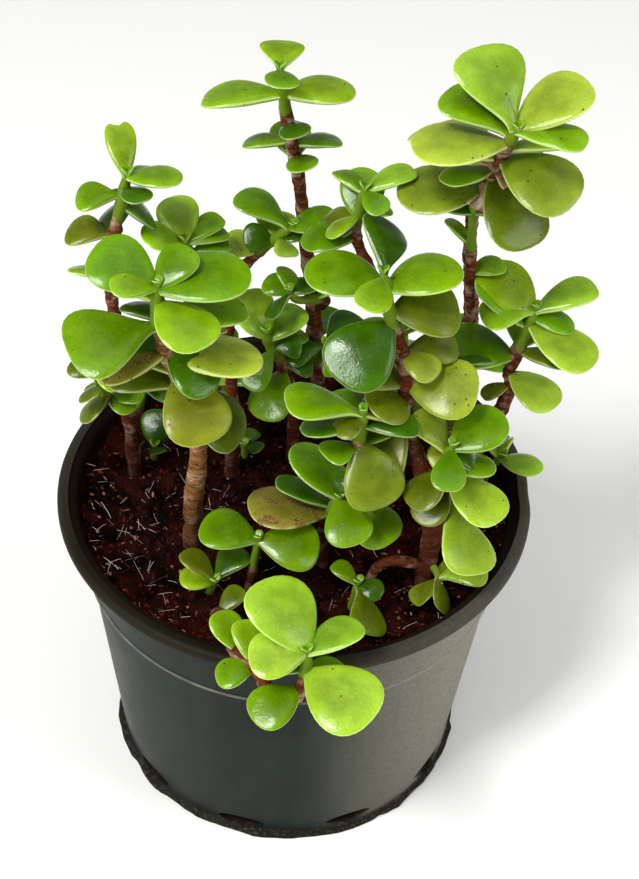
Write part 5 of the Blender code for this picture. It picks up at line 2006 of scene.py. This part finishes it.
    @staticmethod
    def scatter(tree: NodeTree, source: Node, density: Node, thing: Node, lie: LitterLie) -> Node:
        """Scatter a thing on the bed and make it real.

        Args:
            tree: the node tree.
            source: its input node.
            density: how many lie on a square metre.
            thing: what is scattered.
            lie: how the pieces vary and lie.

        Returns:
            The node that gives the scattered pieces.
        """
        node = partial(add_node, tree)
        seed = node(MATH, {0: source.outputs["Seed"], 1: lie.seed_shift}, operation="ADD")
        spread = node("GeometryNodeDistributePointsOnFaces",
                      {"Mesh": source.outputs["Geometry"], "Density": density,
                       "Seed": seed}, distribute_method="RANDOM")
        turn = node(RANDOM, {0: (-lie.tumble, -lie.tumble, 0.0), 1: (lie.tumble, lie.tumble, 2 * math.pi),
                             "Seed": seed}, data_type="FLOAT_VECTOR")
        size = node(RANDOM, {0: lie.least, 1: lie.most, "Seed": seed}, data_type="FLOAT_VECTOR")
        rotation = node("FunctionNodeEulerToRotation", {0: turn})
        placed = node("GeometryNodeInstanceOnPoints",
                      {"Points": spread, "Instance": thing, "Pick Instance": True,
                       "Rotation": rotation, "Scale": size})
        tint = node(RANDOM, {"Seed": seed}, data_type="FLOAT")
        tinted = node(STORE, {"Geometry": placed, "Name": "tint", "Value": tint}, data_type="FLOAT",
                      domain="INSTANCE")
        real = node("GeometryNodeRealizeInstances", {0: tinted})
        return node("GeometryNodeSetMaterial", {0: real, "Material": source.outputs[lie.finish]})


# Studio

@dataclass
class Studio:
    """The table, the soft lights and the camera at the photographed angle."""

    distance: float = 0.44
    elevation: float = 43.3
    roll: float = 3.2
    aim: tuple[float, float, float] = (0.00575, 0.0, 0.1074)
    focal_px: float = 1700.0
    image_width: float = 639.0
    sensor_mm: float = 36.0

    def build_table(self) -> None:
        """Lay the white table under the pot."""
        reach = 1.6
        mesh = bpy.data.meshes.new("table")
        mesh.from_pydata([(-reach, -reach, 0), (reach, -reach, 0), (reach, reach, 0), (-reach, reach, 0)], [],
                         [(0, 1, 2, 3)])
        mesh.materials.append(WhiteLaminate().material())
        table = bpy.data.objects.new("table", mesh)
        bpy.context.scene.collection.objects.link(table)

    def add_light(self, name: str, place: Vector, size: float, power: float, colour: str) -> Object:
        """Hang one square softbox aimed at the plant.

        Args:
            name: its name.
            place: where it hangs.
            size: its side.
            power: in watts.
            colour: its hex code.

        Returns:
            The light.
        """
        data = bpy.data.lights.new(name, "AREA")
        data.shape, data.size, data.energy = "SQUARE", size, power
        data.color = linear(colour)[:3]
        lamp = bpy.data.objects.new(name, data)
        lamp.location = place
        lamp.rotation_euler = (Vector((0, 0, 0.12)) - place).to_track_quat("-Z", "Y").to_euler()
        bpy.context.scene.collection.objects.link(lamp)
        return lamp

    def light(self) -> None:
        """Set the world and the softboxes."""
        bpy.context.scene.view_settings.view_transform = "Standard"
        world = bpy.data.worlds.new("studio_white")
        world.use_nodes = True
        background = world.node_tree.nodes["Background"]
        background.inputs["Color"].default_value = (1, 1, 1, 1)
        background.inputs["Strength"].default_value = 0.22
        bpy.context.scene.world = world
        self.add_light("key_softbox", Vector((-0.5, -0.66, 1.4)), 0.27, 14.0, "#fffdf8")
        self.add_light("low_softbox", Vector((-0.75, -0.6, 0.5)), 0.4, 6.0, "#ffffff")
        catch = self.add_light("catch_softbox", Vector((-0.62, -0.62, 0.85)), 0.72, 30.0, "#ffffff")
        catch.visible_diffuse = False
        self.add_light("sky_softbox", Vector((0.1, 0.1, 1.9)), 1.8, 9.0, "#ffffff")
        self.add_light("side_softbox", Vector((0.9, -0.25, 0.7)), 0.6, 5.5, "#ffffff")

    def place_camera(self) -> None:
        """Set the camera so that its picture has the photograph's frame and angle."""
        lift = math.radians(self.elevation)
        tilt = math.radians(self.roll)
        forward = Vector((0, math.cos(lift), -math.sin(lift)))
        right = Vector((1, 0, 0))
        up = Vector((0, math.sin(lift), math.cos(lift)))
        level = math.cos(tilt) * right + math.sin(tilt) * up
        above = -math.sin(tilt) * right + math.cos(tilt) * up
        data = bpy.data.cameras.new("camera")
        data.sensor_fit = "HORIZONTAL"
        data.sensor_width = self.sensor_mm
        data.lens = self.focal_px * self.sensor_mm / self.image_width
        data.clip_start = 0.01
        camera = bpy.data.objects.new("camera", data)
        turn = Matrix((level, above, -forward)).transposed().to_4x4()
        camera.matrix_world = Matrix.Translation(Vector(self.aim) - forward * self.distance) @ turn
        bpy.context.scene.collection.objects.link(camera)
        bpy.context.scene.camera = camera


def solid_surfaces(names: Sequence[str]) -> BVHTree:
    """Return the search tree of some solids of the frame, in millimetres.

    Args:
        names: the solids' names.

    Returns:
        The search tree.
    """
    shapes = []
    for name in names:
        mesh = frame["nodes"][name].data
        shapes.append(([v.co / MM for v in mesh.vertices], [tuple(p.vertices) for p in mesh.polygons]))
    return surface_tree(shapes)


def main() -> None:
    """Build every sub-assembly in order."""
    logging.basicConfig(level=logging.INFO, format="%(name)s: %(message)s")
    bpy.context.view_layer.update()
    studio = Studio()
    studio.place_camera()
    studio.build_table()
    studio.light()
    pot = NurseryPot()
    finish_piece(pot.build(), ["pot"])
    finish_piece(SoilBed(pot).build(), ["soil"])
    habit = PlantHabit(STEMS)
    habit.grow(solid_surfaces(["pot", "soil"]))
    foundry = LeafFoundry()
    foundry.build()
    skin = StemSkinTree()
    skin.build()
    for seed, growth in enumerate(habit.growths.values()):
        limb = Limb(growth, foundry, skin, 100 + seed)
        wood = limb.build_wood()
        if wood:
            finish_piece(wood, ["wood_" + growth.plan.name])
        finish_piece(limb.build_shoot(), ["shoot_" + growth.plan.name])
    foundry.clear()


if __name__ == "__main__":
    main()
